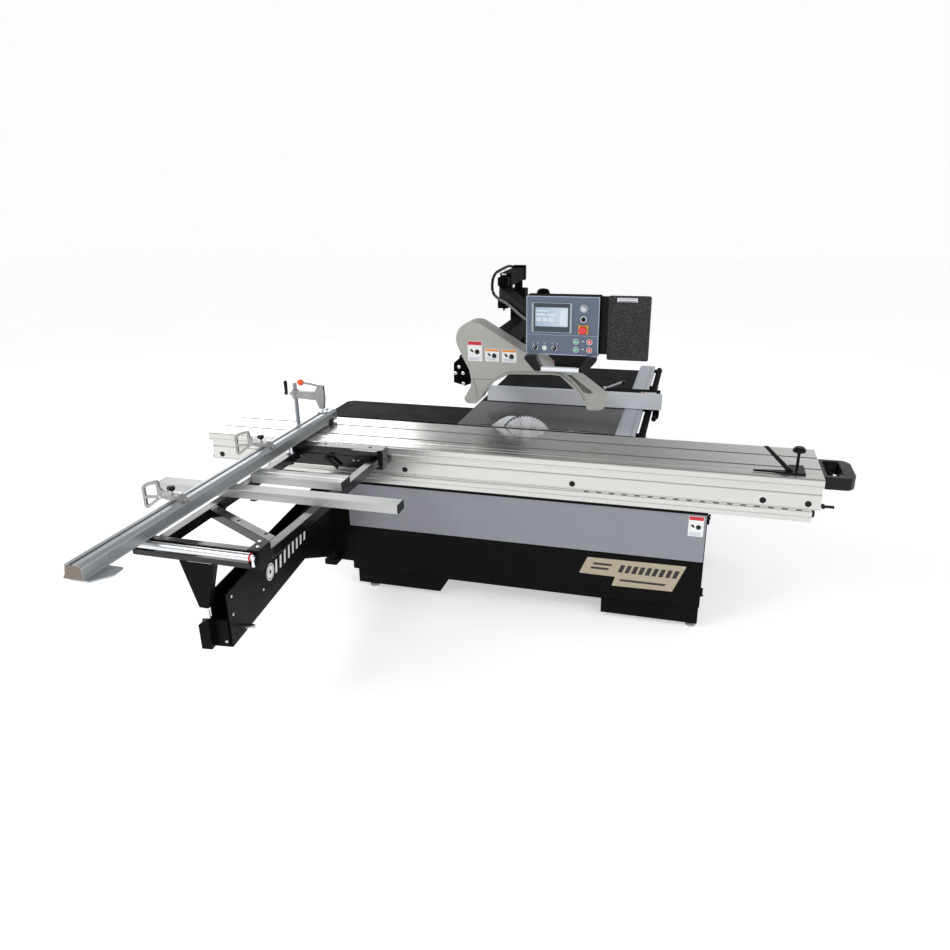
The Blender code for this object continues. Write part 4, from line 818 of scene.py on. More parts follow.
def dress_column():
    finish_node("support_column", MATT_BLACK, 0.003)
    finish_node("guard_beam", MATT_BLACK, 0.0025)
    bolts = []
    for x, z in ((-0.3, 0.309), (-0.322, 0.272), (-0.277, 0.273), (-0.276, 0.213)):
        bolts.append(turned("y", x, z, [(0.0105, 0.568), (0.0105, 0.5655), (0.0085, 0.564),
                                        (0.004, 0.5632)], 24))
    add("guard_plate_bolts", "base", CHROME, *bolts)
    anchors = []
    for x in (-0.395, -0.225):
        anchors += hex_bolt("z", x, 2.03, FLOOR + 0.012, 1, 0.009, 0.009)
    add("column_anchors", "base", STEEL, *anchors)


# ---------------------------------------------------------------- saw unit
def dress_saw_unit():
    finish_node("saw_trunnion", cast_metal("cast_iron_paint", srgb(92, 94, 96), 0.5, 0.4), 0.0015)
    finish_node("saw_carrier_motor", MOTOR_PAINT, 0.0015)
    finish_node("motor_pulley", STEEL, 0.0006)
    finish_node("drive_belt", RUBBER, 0.0005)
    finish_node("saw_arbor", STEEL, 0.0004)
    finish_node("scoring_blade", BLADE)
    finish_node("riving_knife", brushed("knife_steel", srgb(214, 217, 221), 0.34, "z", 0.05, 0.4),
                0.0004)

    fins = []
    for i in range(24):
        turn = 2 * pi * i / 24
        away = Vector((cos(turn), sin(turn)))
        side = Vector((-away.y, away.x)) * 0.0015
        middle = Vector((0.112, -0.42))
        corners = [middle + away * r + side * s for r, s in ((0.074, -1), (0.081, -1), (0.081, 1),
                                                             (0.074, 1))]
        fins.append(prism("y", [tuple(c) for c in corners], 0.625, 0.77))
    grille = [turned("y", 0.112, -0.42, [(r + 0.002, 0.7998), (r + 0.002, 0.8022),
                                          (r - 0.002, 0.8022), (r - 0.002, 0.7998)], 32)
              for r in (0.058, 0.044, 0.03)]
    add("motor_cooling_fins", "saw_unit", MOTOR_PAINT, *fins, *grille)

    teeth = 48
    outline = []
    for i in range(teeth):
        root = 2 * pi * i / teeth
        step = 2 * pi / teeth
        for share, radius in ((0.0, 0.142), (0.1, 0.1425), (0.16, 0.1498), (0.24, 0.15),
                              (0.62, 0.147), (0.8, 0.1432)):
            turn = root + step * share
            outline.append((0.112 + radius * cos(turn), -0.08 + radius * sin(turn)))
    disc = prism("y", outline, 0.4886, 0.4914)
    slots = []
    for i in range(4):
        turn = pi / 2 * i + 0.35
        line = [(0.108, -0.0008), (0.146, -0.0008), (0.146, 0.0008), (0.108, 0.0008)]
        slots.append(prism("y", [(0.112 + a * cos(turn) - b * sin(turn),
                                  -0.08 + a * sin(turn) + b * cos(turn)) for a, b in line],
                           0.48, 0.5))
        slots.append(prism("y", circle(0.112 + 0.106 * cos(turn), -0.08 + 0.106 * sin(turn),
                                       0.0035, 12), 0.48, 0.5))
    bore = prism("y", circle(0.112, -0.08, 0.0153, 24), 0.48, 0.5)
    tips = []
    for i in range(teeth):
        turn = 2 * pi * (i + 0.16) / teeth
        points = [(0.1436, -0.0002), (0.15, 0.0), (0.15, 0.003), (0.144, 0.0024)]
        tips.append(prism("y", [(0.112 + a * cos(turn) - b * sin(turn),
                                 -0.08 + a * sin(turn) + b * cos(turn)) for a, b in points],
                          0.4884, 0.4916))
    add("saw_blade", "main_spindle", BLADE, cut(disc, bore, *slots), *[(t, STEEL) for t in tips],
        instead_of=["main_blade"])


# ---------------------------------------------------------------- guard hood
def ribbon(points, width):
    """A flat strip of the given width laid along a line of points."""
    left, right = [], []
    for i, (a, b) in enumerate(points):
        before, after = points[max(i - 1, 0)], points[min(i + 1, len(points) - 1)]
        da, db = after[0] - before[0], after[1] - before[1]
        size = hypot(da, db)
        left.append((a - db / size * width / 2, b + da / size * width / 2))
        right.append((a + db / size * width / 2, b - da / size * width / 2))
    return left + right[::-1]


WINDOW_EDGE = [(-0.1405, 0.166), (-0.112, 0.214), (-0.06, 0.274), (-0.018, 0.301),
               (0.025, 0.319), (0.14, 0.3235), (0.2535, 0.3275), (0.301, 0.3235),
               (0.34, 0.298), (0.379, 0.262), (0.417, 0.218), (0.443, 0.166)]


def dress_hood():
    finish_node("guard_hood", HOOD_GREY, 0.004, 3)
    edge = [(p.x, p.y) for p in smooth_route([(a, b, 0.0) for a, b in WINDOW_EDGE], 5)]
    bead = prism("y", ribbon(edge, 0.0075), 0.4302, 0.4268)
    outer = [(a * 1.0, b + 0.012) for a, b in edge[22:]]
    second = prism("y", ribbon([(a + 0.01, b + 0.003) for a, b in outer], 0.006), 0.4302, 0.427)
    add("hood_window_beads", "guard", HOOD_GREY, bead, second, bevel=0.0008)
    seam = [prism("y", ribbon(line, 0.0034), 0.4301, 0.4296) for line in (
        [(-0.189, 0.2765), (-0.146, 0.279), (-0.07, 0.279)],
        [(-0.178, 0.274), (-0.164, 0.23), (-0.158, 0.19), (-0.157, 0.166)],
        [(a, b + 0.0055) for a, b in edge[2:44]], outer[1:-1])]
    add("hood_seams", "guard", SEAM, *seam)
    latch = prism("z", rounded(rectangle(0.262, 0.292, 0.4235, 0.4295), 0.002), 0.394, 0.4005)
    add("hood_latch", "guard", RED, latch, bevel=0.0006)
    label("notice_hood_danger", "guard", -0.206, -0.126, 0.378, 0.487, 0.43, LABEL_RED)
    label("notice_hood_left", "guard", -0.108, -0.032, 0.38, 0.448, 0.43, LABEL_ORANGE)
    label("notice_hood_right", "guard", -0.015, 0.065, 0.378, 0.448, 0.43, LABEL_ORANGE)


# ---------------------------------------------------------------- boom
BOOM_X = -0.315
ELBOW = (BOOM_X, 1.7)
WRIST = (0.205, 0.43)
ARM_2_ANGLE = atan2(WRIST[0] - ELBOW[0], ELBOW[1] - WRIST[1])
ARM_2_PLACE = turned_about(ELBOW, ARM_2_ANGLE)


def cable(name, body, knots, radius, node, place=None):
    """A cable held between two housings, along the route its CAD solid takes."""
    points = [(place @ p if place else p) + ORIGIN for p in smooth_route(knots, 4)]
    curve = bpy.data.curves.new(name, "CURVE")
    curve.dimensions = "3D"
    curve.bevel_depth = radius
    curve.bevel_resolution = 5
    curve.use_fill_caps = True
    curve.materials.append(HOSE)
    spline = curve.splines.new("POLY")
    spline.points.add(len(points) - 1)
    for point, where in zip(spline.points, points):
        point.co = (*where, 1.0)
    spline.use_smooth = True
    piece = bpy.data.objects.new(name, curve)
    bpy.context.scene.collection.objects.link(piece)
    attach(piece, body)
    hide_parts(node)


def dress_boom():
    finish_node("boom_arm_1", MATT_BLACK, 0.004, 3)
    finish_node("boom_arm_2", MATT_BLACK, 0.003, 3)
    cable("cable_rear", "boom_rear",
          [(-0.3705, 2.19, 0.7), (-0.38, 2.1, 0.712), (-0.388, 1.95, 0.708),
           (-0.392, 1.8, 0.7), (-0.391, 1.7, 0.674), (-0.383, 1.64, 0.632),
           (-0.374, 1.612, 0.6)], 0.0095, "boom_cable_rear")
    cable("cable_front", "boom_front",
          [(-0.086, -0.073, 0.591), (-0.078, -0.11, 0.572), (-0.06, -0.22, 0.56),
           (-0.048, -0.4, 0.566), (-0.047, -0.7, 0.572), (-0.047, -1.0, 0.574),
           (-0.047, -1.24, 0.584)], 0.0095, "boom_cable_front", ARM_2_PLACE)
    heads = [turned("z", BOOM_X, 1.7, [(0.014, 0.6935), (0.0155, 0.6955), (0.0155, 0.7),
                                         (0.011, 0.7035), (0.004, 0.7045)], 28),
             turned("z", BOOM_X, 1.7, [(0.012, 0.4625), (0.012, 0.4545), (0.0085, 0.452)], 6)]
    add("elbow_bolt", "boom_rear", CHROME, *heads)
    clips = [band("y", circle(-0.389, 0.7015, 0.012, 24), circle(-0.389, 0.7015, 0.0098, 24),
                  y, y + 0.012) for y in (1.86, 2.02)]
    add("cable_clips_rear", "boom_rear", PLASTIC, *clips)


# ---------------------------------------------------------------- control panel
PANEL_FACE = 0.2992     # Y of the control panel's front sheet


def ring(x, z, outer, inner, face, height):
    """A turned bezel ring standing out of the panel."""
    return band("y", circle(x, z, outer, 32), circle(x, z, inner, 32), face, face - height)


def dress_control_box():
    case = prism("y", rounded(rectangle(0.144, 0.515, 0.457, 0.754), 0.006), 0.3004, 0.385)
    add("control_case", "panel", MATT_BLACK, case, bevel=0.003, segments=3, instead_of=["control_box"])
    outer = rounded(rectangle(0.1455, 0.5135, 0.4585, 0.7525), 0.005)
    inner = rounded(rectangle(0.1495, 0.5095, 0.4625, 0.7485), 0.004)
    holes = [prism("y", circle(x, z, 0.0086, 20), 0.28, 0.3035) for x, z in CONTROLS.values()]
    face = cut(prism("y", inner, 0.3004, PANEL_FACE), *holes)
    add("control_face", "panel", PANEL_BLUE, face)
    add("control_face_rim", "panel", PANEL_EDGE, band("y", outer, inner, 0.3004, 0.2985),
        box(0.1495, 0.5095, 0.2986, PANEL_FACE, 0.559, 0.5606))

    outer = rounded(rectangle(0.174, 0.379, 0.572, 0.721), 0.004)
    inner = rounded(rectangle(0.184, 0.368, 0.575, 0.718), 0.003)
    window = rounded(rectangle(0.192, 0.358, 0.602, 0.697), 0.002)
    bezel = band("y", outer, inner, PANEL_FACE, 0.2925)
    glass = band("y", inner, rounded(rectangle(0.192, 0.358, 0.602, 0.697), 0.003), PANEL_FACE, 0.294)
    add("screen_bezel", "panel", BEZEL, bezel, (glass, DARK_GLASS), bevel=0.0006)
    screen = prism("y", window, PANEL_FACE, 0.295)
    panes = [box(x, x + w, 0.29485, 0.295, z, z + h)
             for x, z, w, h in ((0.198, 0.676, 0.06, 0.008), (0.198, 0.656, 0.046, 0.01),
                                (0.256, 0.656, 0.04, 0.01), (0.198, 0.628, 0.024, 0.018),
                                (0.23, 0.628, 0.024, 0.018), (0.262, 0.628, 0.024, 0.018),
                                (0.318, 0.612, 0.032, 0.072))]
    add("screen", "panel", SCREEN, screen, *[(pane, PANE) for pane in panes])

    bezels = []
    for name, (x, z) in CONTROLS.items():
        if name.startswith(("green", "red")):
            bezels += [ring(x, z, 0.015, 0.0115, PANEL_FACE, 0.005),
                       ring(x, z, 0.014, 0.0112, 0.2945, 0.0012)]
        elif name.startswith("selector"):
            bezels.append(ring(x, z, 0.0145, 0.01, PANEL_FACE, 0.0035))
        elif name == "key_switch":
            bezels += [ring(x, z, 0.0165, 0.0118, PANEL_FACE, 0.005),
                       ring(x, z, 0.015, 0.0118, 0.2944, 0.0014)]
        elif name == "speed_knob":
            bezels.append(ring(x, z, 0.0185, 0.009, PANEL_FACE, 0.0012))
    add("control_bezels", "panel", STEEL, *bezels)
    x, z = CONTROLS["estop_button"]
    stop_plate = prism("y", rounded(rectangle(x - 0.0255, x + 0.0255, z - 0.0215, z + 0.0215), 0.002),
                       PANEL_FACE, 0.2972)
    stop_plate = cut(stop_plate, prism("y", circle(x, z, 0.009, 20), 0.28, 0.31))
    collar = ring(x, z, 0.015, 0.0092, 0.2972, 0.0008)
    add("estop_plate", "panel", YELLOW, stop_plate, (collar, PLASTIC), bevel=0.0005)
    lamp = turned("y", 0.241, 0.492, [(0.0125, PANEL_FACE), (0.0125, 0.296), (0.0105, 0.295),
                                      (0.0105, 0.2915), (0.008, 0.2895), (0.004, 0.2887)], 32)
    add("pilot_lamp", "panel", moulded("lamp_lens", srgb(226, 228, 220), 0.2, 500.0, 0.05,
                                       Subsurface_Weight=0.2), lamp)

    marks = []
    for x, z in ((0.182, 0.517), (0.206, 0.517), (0.281, 0.517), (0.305, 0.516), (0.241, 0.515)):
        marks.append(band("y", circle(x, z, 0.0032, 12), circle(x, z, 0.002, 12), PANEL_FACE, 0.2989))
    for z in (0.5325, 0.4915):
        marks.append(prism("y", rounded(rectangle(0.431, 0.442, z - 0.0018, z + 0.0018), 0.001),
                           PANEL_FACE, 0.2989))
    for i in range(11):
        turn = radians(225 - 27 * i)
        ax, az = 0.436 + 0.0215 * cos(turn), 0.694 + 0.0215 * sin(turn)
        marks.append(prism("y", circle(ax, az, 0.0009, 8), PANEL_FACE, 0.2989))
    add("panel_marks", "panel", WHITE, *marks)

    for name in ("green_button_upper", "green_button_lower"):
        finish_node(name, GREEN, 0.0004)
    for name in ("red_button_upper", "red_button_lower", "estop_button"):
        finish_node(name, RED, 0.0006 if name == "estop_button" else 0.0004)
    finish_node("speed_knob", STEEL, 0.0006)
    finish_node("key_switch", PLASTIC, 0.0003)
    for name in ("selector_left", "selector_right"):
        finish_node(name, PLASTIC, 0.0005)
        x, z = CONTROLS[name]
        pointer = prism("y", rectangle(x - 0.0009, x + 0.0009, z + 0.001, z + 0.0115), 0.2781, 0.2777)
        add(name + "_pointer", name + "_body", WHITE, pointer)
    square = ((-0.0035, -0.0035), (0.0035, -0.0035), (0.0035, 0.0035), (-0.0035, 0.0035))
    for name, points in (("green_button_upper", ((-0.005, -0.003), (0.005, -0.003), (0.0, 0.005))),
                         ("green_button_lower", ((-0.005, 0.003), (0.005, 0.003), (0.0, -0.005))),
                         ("red_button_upper", square),
                         ("red_button_lower", square)):
        x, z = CONTROLS[name]
        shape = prism("y", rounded([(x + a, z + b) for a, b in points], 0.001), 0.2876, 0.2872)
        add(name + "_mark", name + "_body", WHITE, shape)

    middle = 0.3295
    arms = []
    for side in (-1, 1):
        outline = [(0.183, 0.4565), (0.128, 0.4565), (0.096, 0.402), (0.096, 0.382), (0.128, 0.38),
                   (0.183, 0.44)]
        outline = rounded([(middle + side * across, z) for across, z in outline], 0.01)
        arms.append(prism("y", outline, 0.248, 0.3035))
    add("handle_brackets", "panel", PLASTIC, *arms, bevel=0.003, segments=3)
    apron = prism("y", rounded([(0.2555, 0.457), (0.2925, 0.4235), (0.2925, 0.3965),
                                (0.4775, 0.3965), (0.4775, 0.457)], 0.004), 0.305, 0.344)
    add("panel_apron", "panel", SATIN, apron, bevel=0.0015)
    grip = turned("x", 0.262, 0.392, [(0.012, middle - 0.108), (0.012, middle + 0.108)], 32)
    add("handle_bar", "panel", FENCE_FACE, grip)

    collar = cut(turned("z", *WRIST, [(0.0325, 0.645), (0.034, 0.6465), (0.034, 0.7335),
                                      (0.0325, 0.735)], 40),
                 prism("z", circle(*WRIST, 0.0225, 32), 0.6, 0.8))
    bridge = cut(prism("z", rounded(rectangle(0.175, 0.235, 0.384, 0.415), 0.003), 0.65, 0.73),
                 prism("z", circle(*WRIST, 0.0225, 32), 0.6, 0.8))
    pinch = hex_bolt("x", 0.405, 0.69, 0.235, 1, 0.0065, 0.006)
    add("wrist_clamp", "panel", BLACK, collar, bridge, *[(p, STEEL) for p in pinch])
    gland = turned("y", 0.455, 0.497, [(0.0115, 0.3845), (0.0155, 0.3855), (0.0155, 0.3905),
                                       (0.0115, 0.3915), (0.0105, 0.399), (0.007, 0.4)], 24)
    add("cable_gland", "panel", PLASTIC, gland)

    board = rounded(rectangle(0.553, 0.76, 0.437, 0.757), 0.012, 6)
    strap = prism("z", rounded(rectangle(0.5155, 0.56, 0.336, 0.359), 0.002), 0.463, 0.751)
    add("clipboard_plate", "panel", hammered(), prism("y", board, 0.33, 0.3415), (strap, SATIN),
        bevel=0.0012, instead_of=["clipboard"])
    plate = prism("y", rounded(rectangle(0.595, 0.694, 0.727, 0.747), 0.004), 0.33, 0.3285)
    spring = prism("x", [(0.3285, 0.742), (0.3225, 0.74), (0.3215, 0.734), (0.325, 0.728),
                         (0.3262, 0.729), (0.323, 0.734), (0.3238, 0.738), (0.3285, 0.7395)],
                   0.602, 0.687)
    rivets = [screw("y", x, 0.7425, 0.3285, -1, 0.004, 0.0015) for x in (0.601, 0.688)]
    add("clipboard_clip", "panel", CHROME, plate, spring, *rivets)


CONTROLS = {
    "green_button_upper": (0.402, 0.531), "green_button_lower": (0.403, 0.49),
    "red_button_upper": (0.47, 0.53), "red_button_lower": (0.47, 0.489),
    "estop_button": (0.436, 0.59), "key_switch": (0.436, 0.642), "speed_knob": (0.436, 0.694),
    "selector_left": (0.194, 0.495), "selector_right": (0.293, 0.493),
}


# ---------------------------------------------------------------- sliding carriage
def dress_carriage():
    front = [(0.026, -0.16), (0.0235, -0.158), (0.0235, -0.154), (0.0248, -0.153),
             (0.0248, -0.1512), (0.0235, -0.15), (0.0235, -0.0885), (0.024, -0.0862),
             (0.029, -0.081), (0.029, -0.0525), (0.0235, -0.05), (0.0235, -0.047),
             (0.006, -0.047), (0.0018, -0.0452), (0.0, -0.041), (0.0, -0.0345),
             (0.0014, -0.033), (0.0014, -0.0312), (0.0, -0.0297)]
    outline = front + arc(0.01, -0.01, 0.01, 180, 90, 6)
    for a, b, depth in ((0.014, 0.0175, 0.003), (0.046, 0.053, 0.0018), (0.083, 0.09, 0.0014)):
        outline += [(a, 0.0), (a + 0.0008, -depth), (b - 0.0008, -depth), (b, 0.0)]
    for centre in (0.146, 0.311):
        outline += [(centre - 0.008, 0.0), (centre - 0.007, -0.001), (centre - 0.007, -0.006),
                    (centre - 0.012, -0.006), (centre - 0.012, -0.016), (centre + 0.012, -0.016),
                    (centre + 0.012, -0.006), (centre + 0.007, -0.006), (centre + 0.007, -0.001),
                    (centre + 0.008, 0.0)]
    outline += [(0.4485, 0.0), (0.45, -0.0015), (0.45, -0.018), (0.405, -0.045), (0.33, -0.05),
                (0.262, -0.16)]
    body = prism("x", outline, -1.6, 1.6)
    chambers = [prism("x", points, -1.62, 1.62) for points in (
        [(0.034, -0.153), (0.12, -0.153), (0.12, -0.024), (0.034, -0.024)],
        [(0.126, -0.153), (0.2, -0.153), (0.2, -0.024), (0.126, -0.024)],
        [(0.206, -0.153), (0.256, -0.153), (0.318, -0.05), (0.322, -0.024), (0.206, -0.024)])]
    add("carriage_extrusion", "carriage_body", ALONG_X, cut(body, *chambers),
        instead_of=["carriage"], sharp=12)
    plugs = []
    for x in (-1.545, -1.346, -0.445, 0.445, 1.346, 1.545):
        plugs.append(turned("y", x, -0.13, [(0.015, 0.0236), (0.015, 0.0222), (0.013, 0.0212),
                                             (0.0115, 0.0216), (0.006, 0.0212)], 36))
    add("carriage_plugs", "carriage_body", PLASTIC, *plugs)
    bumper = turned("x", 0.036, -0.147, [(0.006, -1.5995), (0.01, -1.603), (0.01, -1.6075),
                                         (0.006, -1.6095)], 24)
    add("carriage_bumper", "carriage_body", RUBBER, bumper)

    half = 1.6
    loop = rounded([(half + 0.0005, 0.06), (half + 0.118, 0.062), (half + 0.145, 0.1),
                    (half + 0.145, 0.286), (half + 0.118, 0.32), (half + 0.0005, 0.32)], 0.016)
    window = rounded(rectangle(half + 0.018, half + 0.092, 0.088, 0.294), 0.012)
    shell = prism("z", loop, -0.065, -0.005)
    pocket = prism("z", window, -0.052, 0.01)
    through = prism("z", rounded(rectangle(half + 0.026, half + 0.086, 0.104, 0.278), 0.01),
                    -0.08, 0.01)
    ribs = [box(half + 0.026, half + 0.06, y, y + 0.003, -0.06, -0.03)
            for y in (0.14, 0.185, 0.23)]
    add("push_grip", "carriage_body", PLASTIC, cut(shell, pocket, through), *ribs,
        bevel=0.0025, segments=3, instead_of=["push_handle"])
    screws = [screw("x", y, -0.03, half + 0.0175, 1, 0.0055, 0.004) for y in (0.125, 0.255)]
    add("push_grip_screws", "carriage_body", STEEL, *screws)
    finish_node("carriage_latch", PLASTIC, 0.0015)
    finish_node("edging_shoe", SATIN, 0.0012)


# ---------------------------------------------------------------- outrigger
def star_knob(axis, a, b, start, out, radius=0.018, height=0.016, lobes=6):
    """A moulded star knob standing out along the axis."""
    profile = [(0.007, 0.0), (radius * 0.55, 0.1), (radius * 0.92, 0.3), (radius, 0.5),
               (radius, 0.75), (radius * 0.85, 0.95), (radius * 0.4, 1.0)]
    return turned(axis, a, b, [(r, start + out * height * t) for r, t in profile], 48, lobes, 0.13)


def bar_outline(y0, y1, top, bottom):
    """A support bar's section: a flat top with a shallow line, and a groove down each side."""
    return [(y0, bottom), (y1, bottom), (y1, -0.024), (y1 - 0.0012, -0.0235),
            (y1 - 0.0012, -0.0215), (y1, -0.021), (y1, top - 0.0015), (y1 - 0.0015, top),
            (y0 + 0.0015, top), (y0, top - 0.0015), (y0, -0.0115), (y0 + 0.001, -0.012),
            (y0 + 0.001, -0.0135), (y0, -0.014)]


ROLLER_AXIS = (-1.297, -0.02)     # Y and Z of the front roller
JACK_AXIS = (-0.793, -1.29)       # X and Y of the leg's screw
FENCE_PIVOT = (-1.04, -0.1)       # X and Y of the crosscut fence's pivot


def dress_outrigger():
    left, right, tube_width = -1.06, -0.545, 0.045
    top, bottom, near = -0.0405, -0.085, -1.165
    tubes = [box(left, left + tube_width, near - 0.01, -0.04, bottom, top),
             box(right - tube_width, right, near - 0.01, -0.04, bottom, top),
             box(left + 0.044, right - 0.044, -0.385, -0.34, bottom + 0.0004, top - 0.0004),
             box(-1.086, right, near - tube_width, near - 0.0095, bottom, top)]
    diagonal = prism("z", [(left + 0.044, -0.8295), (left + 0.044, -0.8795),
                           (right - 0.044, -1.1138), (right - 0.044, -1.0638)],
                     bottom + 0.0004, top - 0.0004)
    holes = [prism("z", circle(x, y, 0.006, 16), top - 0.006, top + 0.01)
             for x, y in ((-0.823, -0.96), (-0.64, -1.052), (-0.98, -0.868))]
    add("outrigger_tubes", "outrigger", GLOSS_BLACK, *tubes, cut(diagonal, *holes), bevel=0.003,
        segments=3, instead_of=["outrigger_frame"])

    back = box(left, -0.535, -0.06, -0.0006, -0.112, -0.012)
    flange = prism("z", rounded(rectangle(left, -0.535, -0.062, -0.0005), 0.004), -0.0118, -0.004)
    recess = box(left + 0.02, -0.57, -0.075, -0.05, -0.05, -0.018)
    end = prism("x", rounded([(-0.0625, -0.09), (-0.001, -0.09), (-0.001, -0.0015),
                              (-0.0625, -0.0015)], 0.003), -0.5345, -0.53)
    add("outrigger_bracket", "outrigger", GLOSS_BLACK, cut(back, recess), flange, end, bevel=0.0015)
    clamp = prism("z", rounded([(-0.695, -0.063), (-0.7, -0.082), (-0.56, -0.092),
                                (-0.55, -0.063)], 0.004), -0.026, -0.0045)
    add("outrigger_clamp_block", "outrigger", GLOSS_BLACK, clamp, bevel=0.0012)
    screws = [screw("z", x, y, -0.004, 1, 0.0085, 0.0022)
              for x, y in ((-0.871, -0.02), (-0.615, -0.024))]
    add("bracket_screws", "outrigger", SATIN, *screws)
    set_screws = [turned("y", x, z, [(0.006, -0.0615), (0.006, -0.078), (0.004, -0.082)], 18)
                  for x, z in ((-0.688, -0.062), (-0.66, -0.06), (-0.99, -0.06))]
    add("bracket_set_screws", "outrigger", STEEL, *set_screws)
    post = turned("z", -1.068, -0.072, [(0.005, -0.094), (0.005, -0.02), (0.0035, -0.016)], 20)
    add("stop_post", "outrigger", STEEL, post)
    add("stop_post_knob", "outrigger", PLASTIC,
        star_knob("z", -1.068, -0.072, -0.092, -1, 0.023, 0.026), bevel=0.001)
    knobs = [star_knob("z", -0.903, -0.7, -0.0408, -1, 0.018, 0.02),
             star_knob("x", -0.802, -0.06, left + tube_width, 1, 0.016, 0.024)]
    add("bar_knobs", "outrigger", PLASTIC, *knobs, bevel=0.0008)

    for name, x0, x1, y0, y1 in (("support_bar_outer", -1.386, -0.185, -0.737, -0.665),
                                 ("support_bar_inner", -1.01, -0.535, -0.545, -0.455)):
        outline = bar_outline(y0, y1, 0.0, top)
        if y1 - y0 > 0.08:
            at = outline.index((y0 + 0.0015, 0.0))
            outline[at:at] = [(y0 + 0.052, 0.0), (y0 + 0.05, -0.003), (y0 + 0.044, -0.003),
                              (y0 + 0.042, 0.0)]
        add(name, "outrigger", ANODISED, prism("x", outline, x0 + 0.004, x1 - 0.004), sharp=12)
        caps = []
        for a, b, out in ((x0, x0 + 0.0042, -1), (x1 - 0.0042, x1, 1)):
            cap = prism("x", rounded(rectangle(y0, y1, top, 0.0), 0.003), a, b)
            notch = rectangle((y0 + y1) / 2 - 0.006, (y0 + y1) / 2 + 0.006, top - 0.01, top + 0.014)
            mouth = b - 0.002 if out > 0 else a + 0.002
            cap = cut(cap, prism("x", notch, mouth, mouth + out * 0.02))
            caps.append(cap)
        add(name + "_caps", "outrigger", PLASTIC, *caps, bevel=0.0006)

    lip = -1.304
    tray = box(-1.086, right - 0.02, lip + 0.0052, near - 0.02, -0.066, -0.058)
    front_lip = box(-1.086, right - 0.02, lip, lip + 0.005, -0.066, -0.043)
    cheek = prism("x", rounded([(lip, -0.066), (-1.186, -0.066), (-1.186, -0.006), (-1.24, -0.006),
                                (lip, -0.012)], 0.004), -1.086, -1.077)
    left_bearing = ring_on_x(*ROLLER_AXIS, 0.0125, 0.0066, -1.077, -1.073)
    add("outrigger_tray", "outrigger", GLOSS_BLACK, tray, front_lip, cheek, (left_bearing, PLASTIC),
        bevel=0.0012)
    block = prism("x", rounded([(-1.2755, -0.086), (-1.1855, -0.086), (-1.1855, -0.001),
                                (-1.2755, -0.001)], 0.004), right - tube_width, right + 0.006)
    add("outrigger_end_block", "outrigger", SATIN, block, bevel=0.002)
    bolts = [screw("z", x, y, -0.001, 1, 0.0075, 0.005)
             for x, y in ((-0.578, -1.2), (-0.56, -1.245))]
    add("end_block_screws", "outrigger", CHROME, *bolts)

    eye_x = right - 0.008
    shank = turned("x", *ROLLER_AXIS, [(0.0105, right - 0.0165), (0.0105, right - 0.0125),
                                         (0.007, right - 0.012), (0.007, right - 0.002)], 24)
    drop = turned("z", eye_x + 0.002, -1.301, [(0.006, -0.056), (0.0075, -0.052), (0.006, -0.044),
                                               (0.005, -0.03), (0.0085, -0.026),
                                               (0.0085, -0.012), (0.005, -0.008)], 24)
    add("roller_bearing", "outrigger", CHROME, shank, drop, bevel=0.0006)

    leg = prism("y", [(-0.876, -0.0662), (-0.721, -0.0662), (-0.775, -0.266), (-0.8165, -0.266)],
                -1.306, -1.274)
    hollow = prism("y", [(-0.868, -0.06), (-0.731, -0.06), (-0.781, -0.258), (-0.8105, -0.258)],
                   -1.303, -1.26)
    add("outrigger_leg", "outrigger", BLACK, cut(leg, hollow), bevel=0.0015)
    jack = turned("z", *JACK_AXIS, [(0.013, -0.262), (0.013, -0.28), (0.009, -0.2808),
                                        (0.009, -0.318), (0.008, -0.319)], 28)
    nut = turned("z", *JACK_AXIS, [(0.0165, -0.2665), (0.0165, -0.278)], 6)
    add("outrigger_jack", "outrigger", CHROME, jack, nut, bevel=0.0006)
    pivot = turned("z", *FENCE_PIVOT, [(0.016, -0.06), (0.016, 0.008), (0.0145, 0.0097)], 32)
    washer = turned("z", *FENCE_PIVOT, [(0.024, -0.0402), (0.024, -0.036), (0.0225, -0.035)], 32)
    add("fence_pivot", "outrigger", CHROME, pivot, washer)

    finish_node("outrigger_roller", brushed("roller_tube", srgb(222, 224, 226), 0.24, "x", 0.06),
                0.0006)
    ends = []
    for x0, x1 in ((-1.0735, -1.0715), (-0.563, -0.5612)):
        ends.append(turned("x", *ROLLER_AXIS, [(0.0162, x0), (0.0172, x0 + 0.0004),
                                                 (0.0172, x1 - 0.0004), (0.0105, x1)], 36))
    add("roller_end_caps", "roller", RED, *ends)
    finish_node("lock_lever", PLASTIC, 0.002, 3)


def ring_on_x(y, z, outer, inner, start, end):
    return band("x", circle(y, z, outer, 28), circle(y, z, inner, 28), start, end)


# ---------------------------------------------------------------- crosscut fence
FENCE_SECTION = [(-1.082, 0.01), (-0.996, 0.01), (-0.996, 0.0135), (-0.9985, 0.016),
                 (-0.9985, 0.018), (-0.996, 0.0205), (-0.996, 0.056), (-0.9975, 0.0595),
                 (-1.008, 0.0688), (-1.011, 0.0697), (-1.029, 0.0697), (-1.029, 0.069),
                 (-1.0335, 0.069), (-1.0335, 0.062), (-1.03, 0.062), (-1.03, 0.058),
                 (-1.05, 0.058), (-1.05, 0.062), (-1.0465, 0.062), (-1.0465, 0.069),
                 (-1.051, 0.069), (-1.051, 0.07), (-1.064, 0.07), (-1.0665, 0.0685),
                 (-1.067, 0.056), (-1.07, 0.054), (-1.073, 0.03), (-1.082, 0.018)]


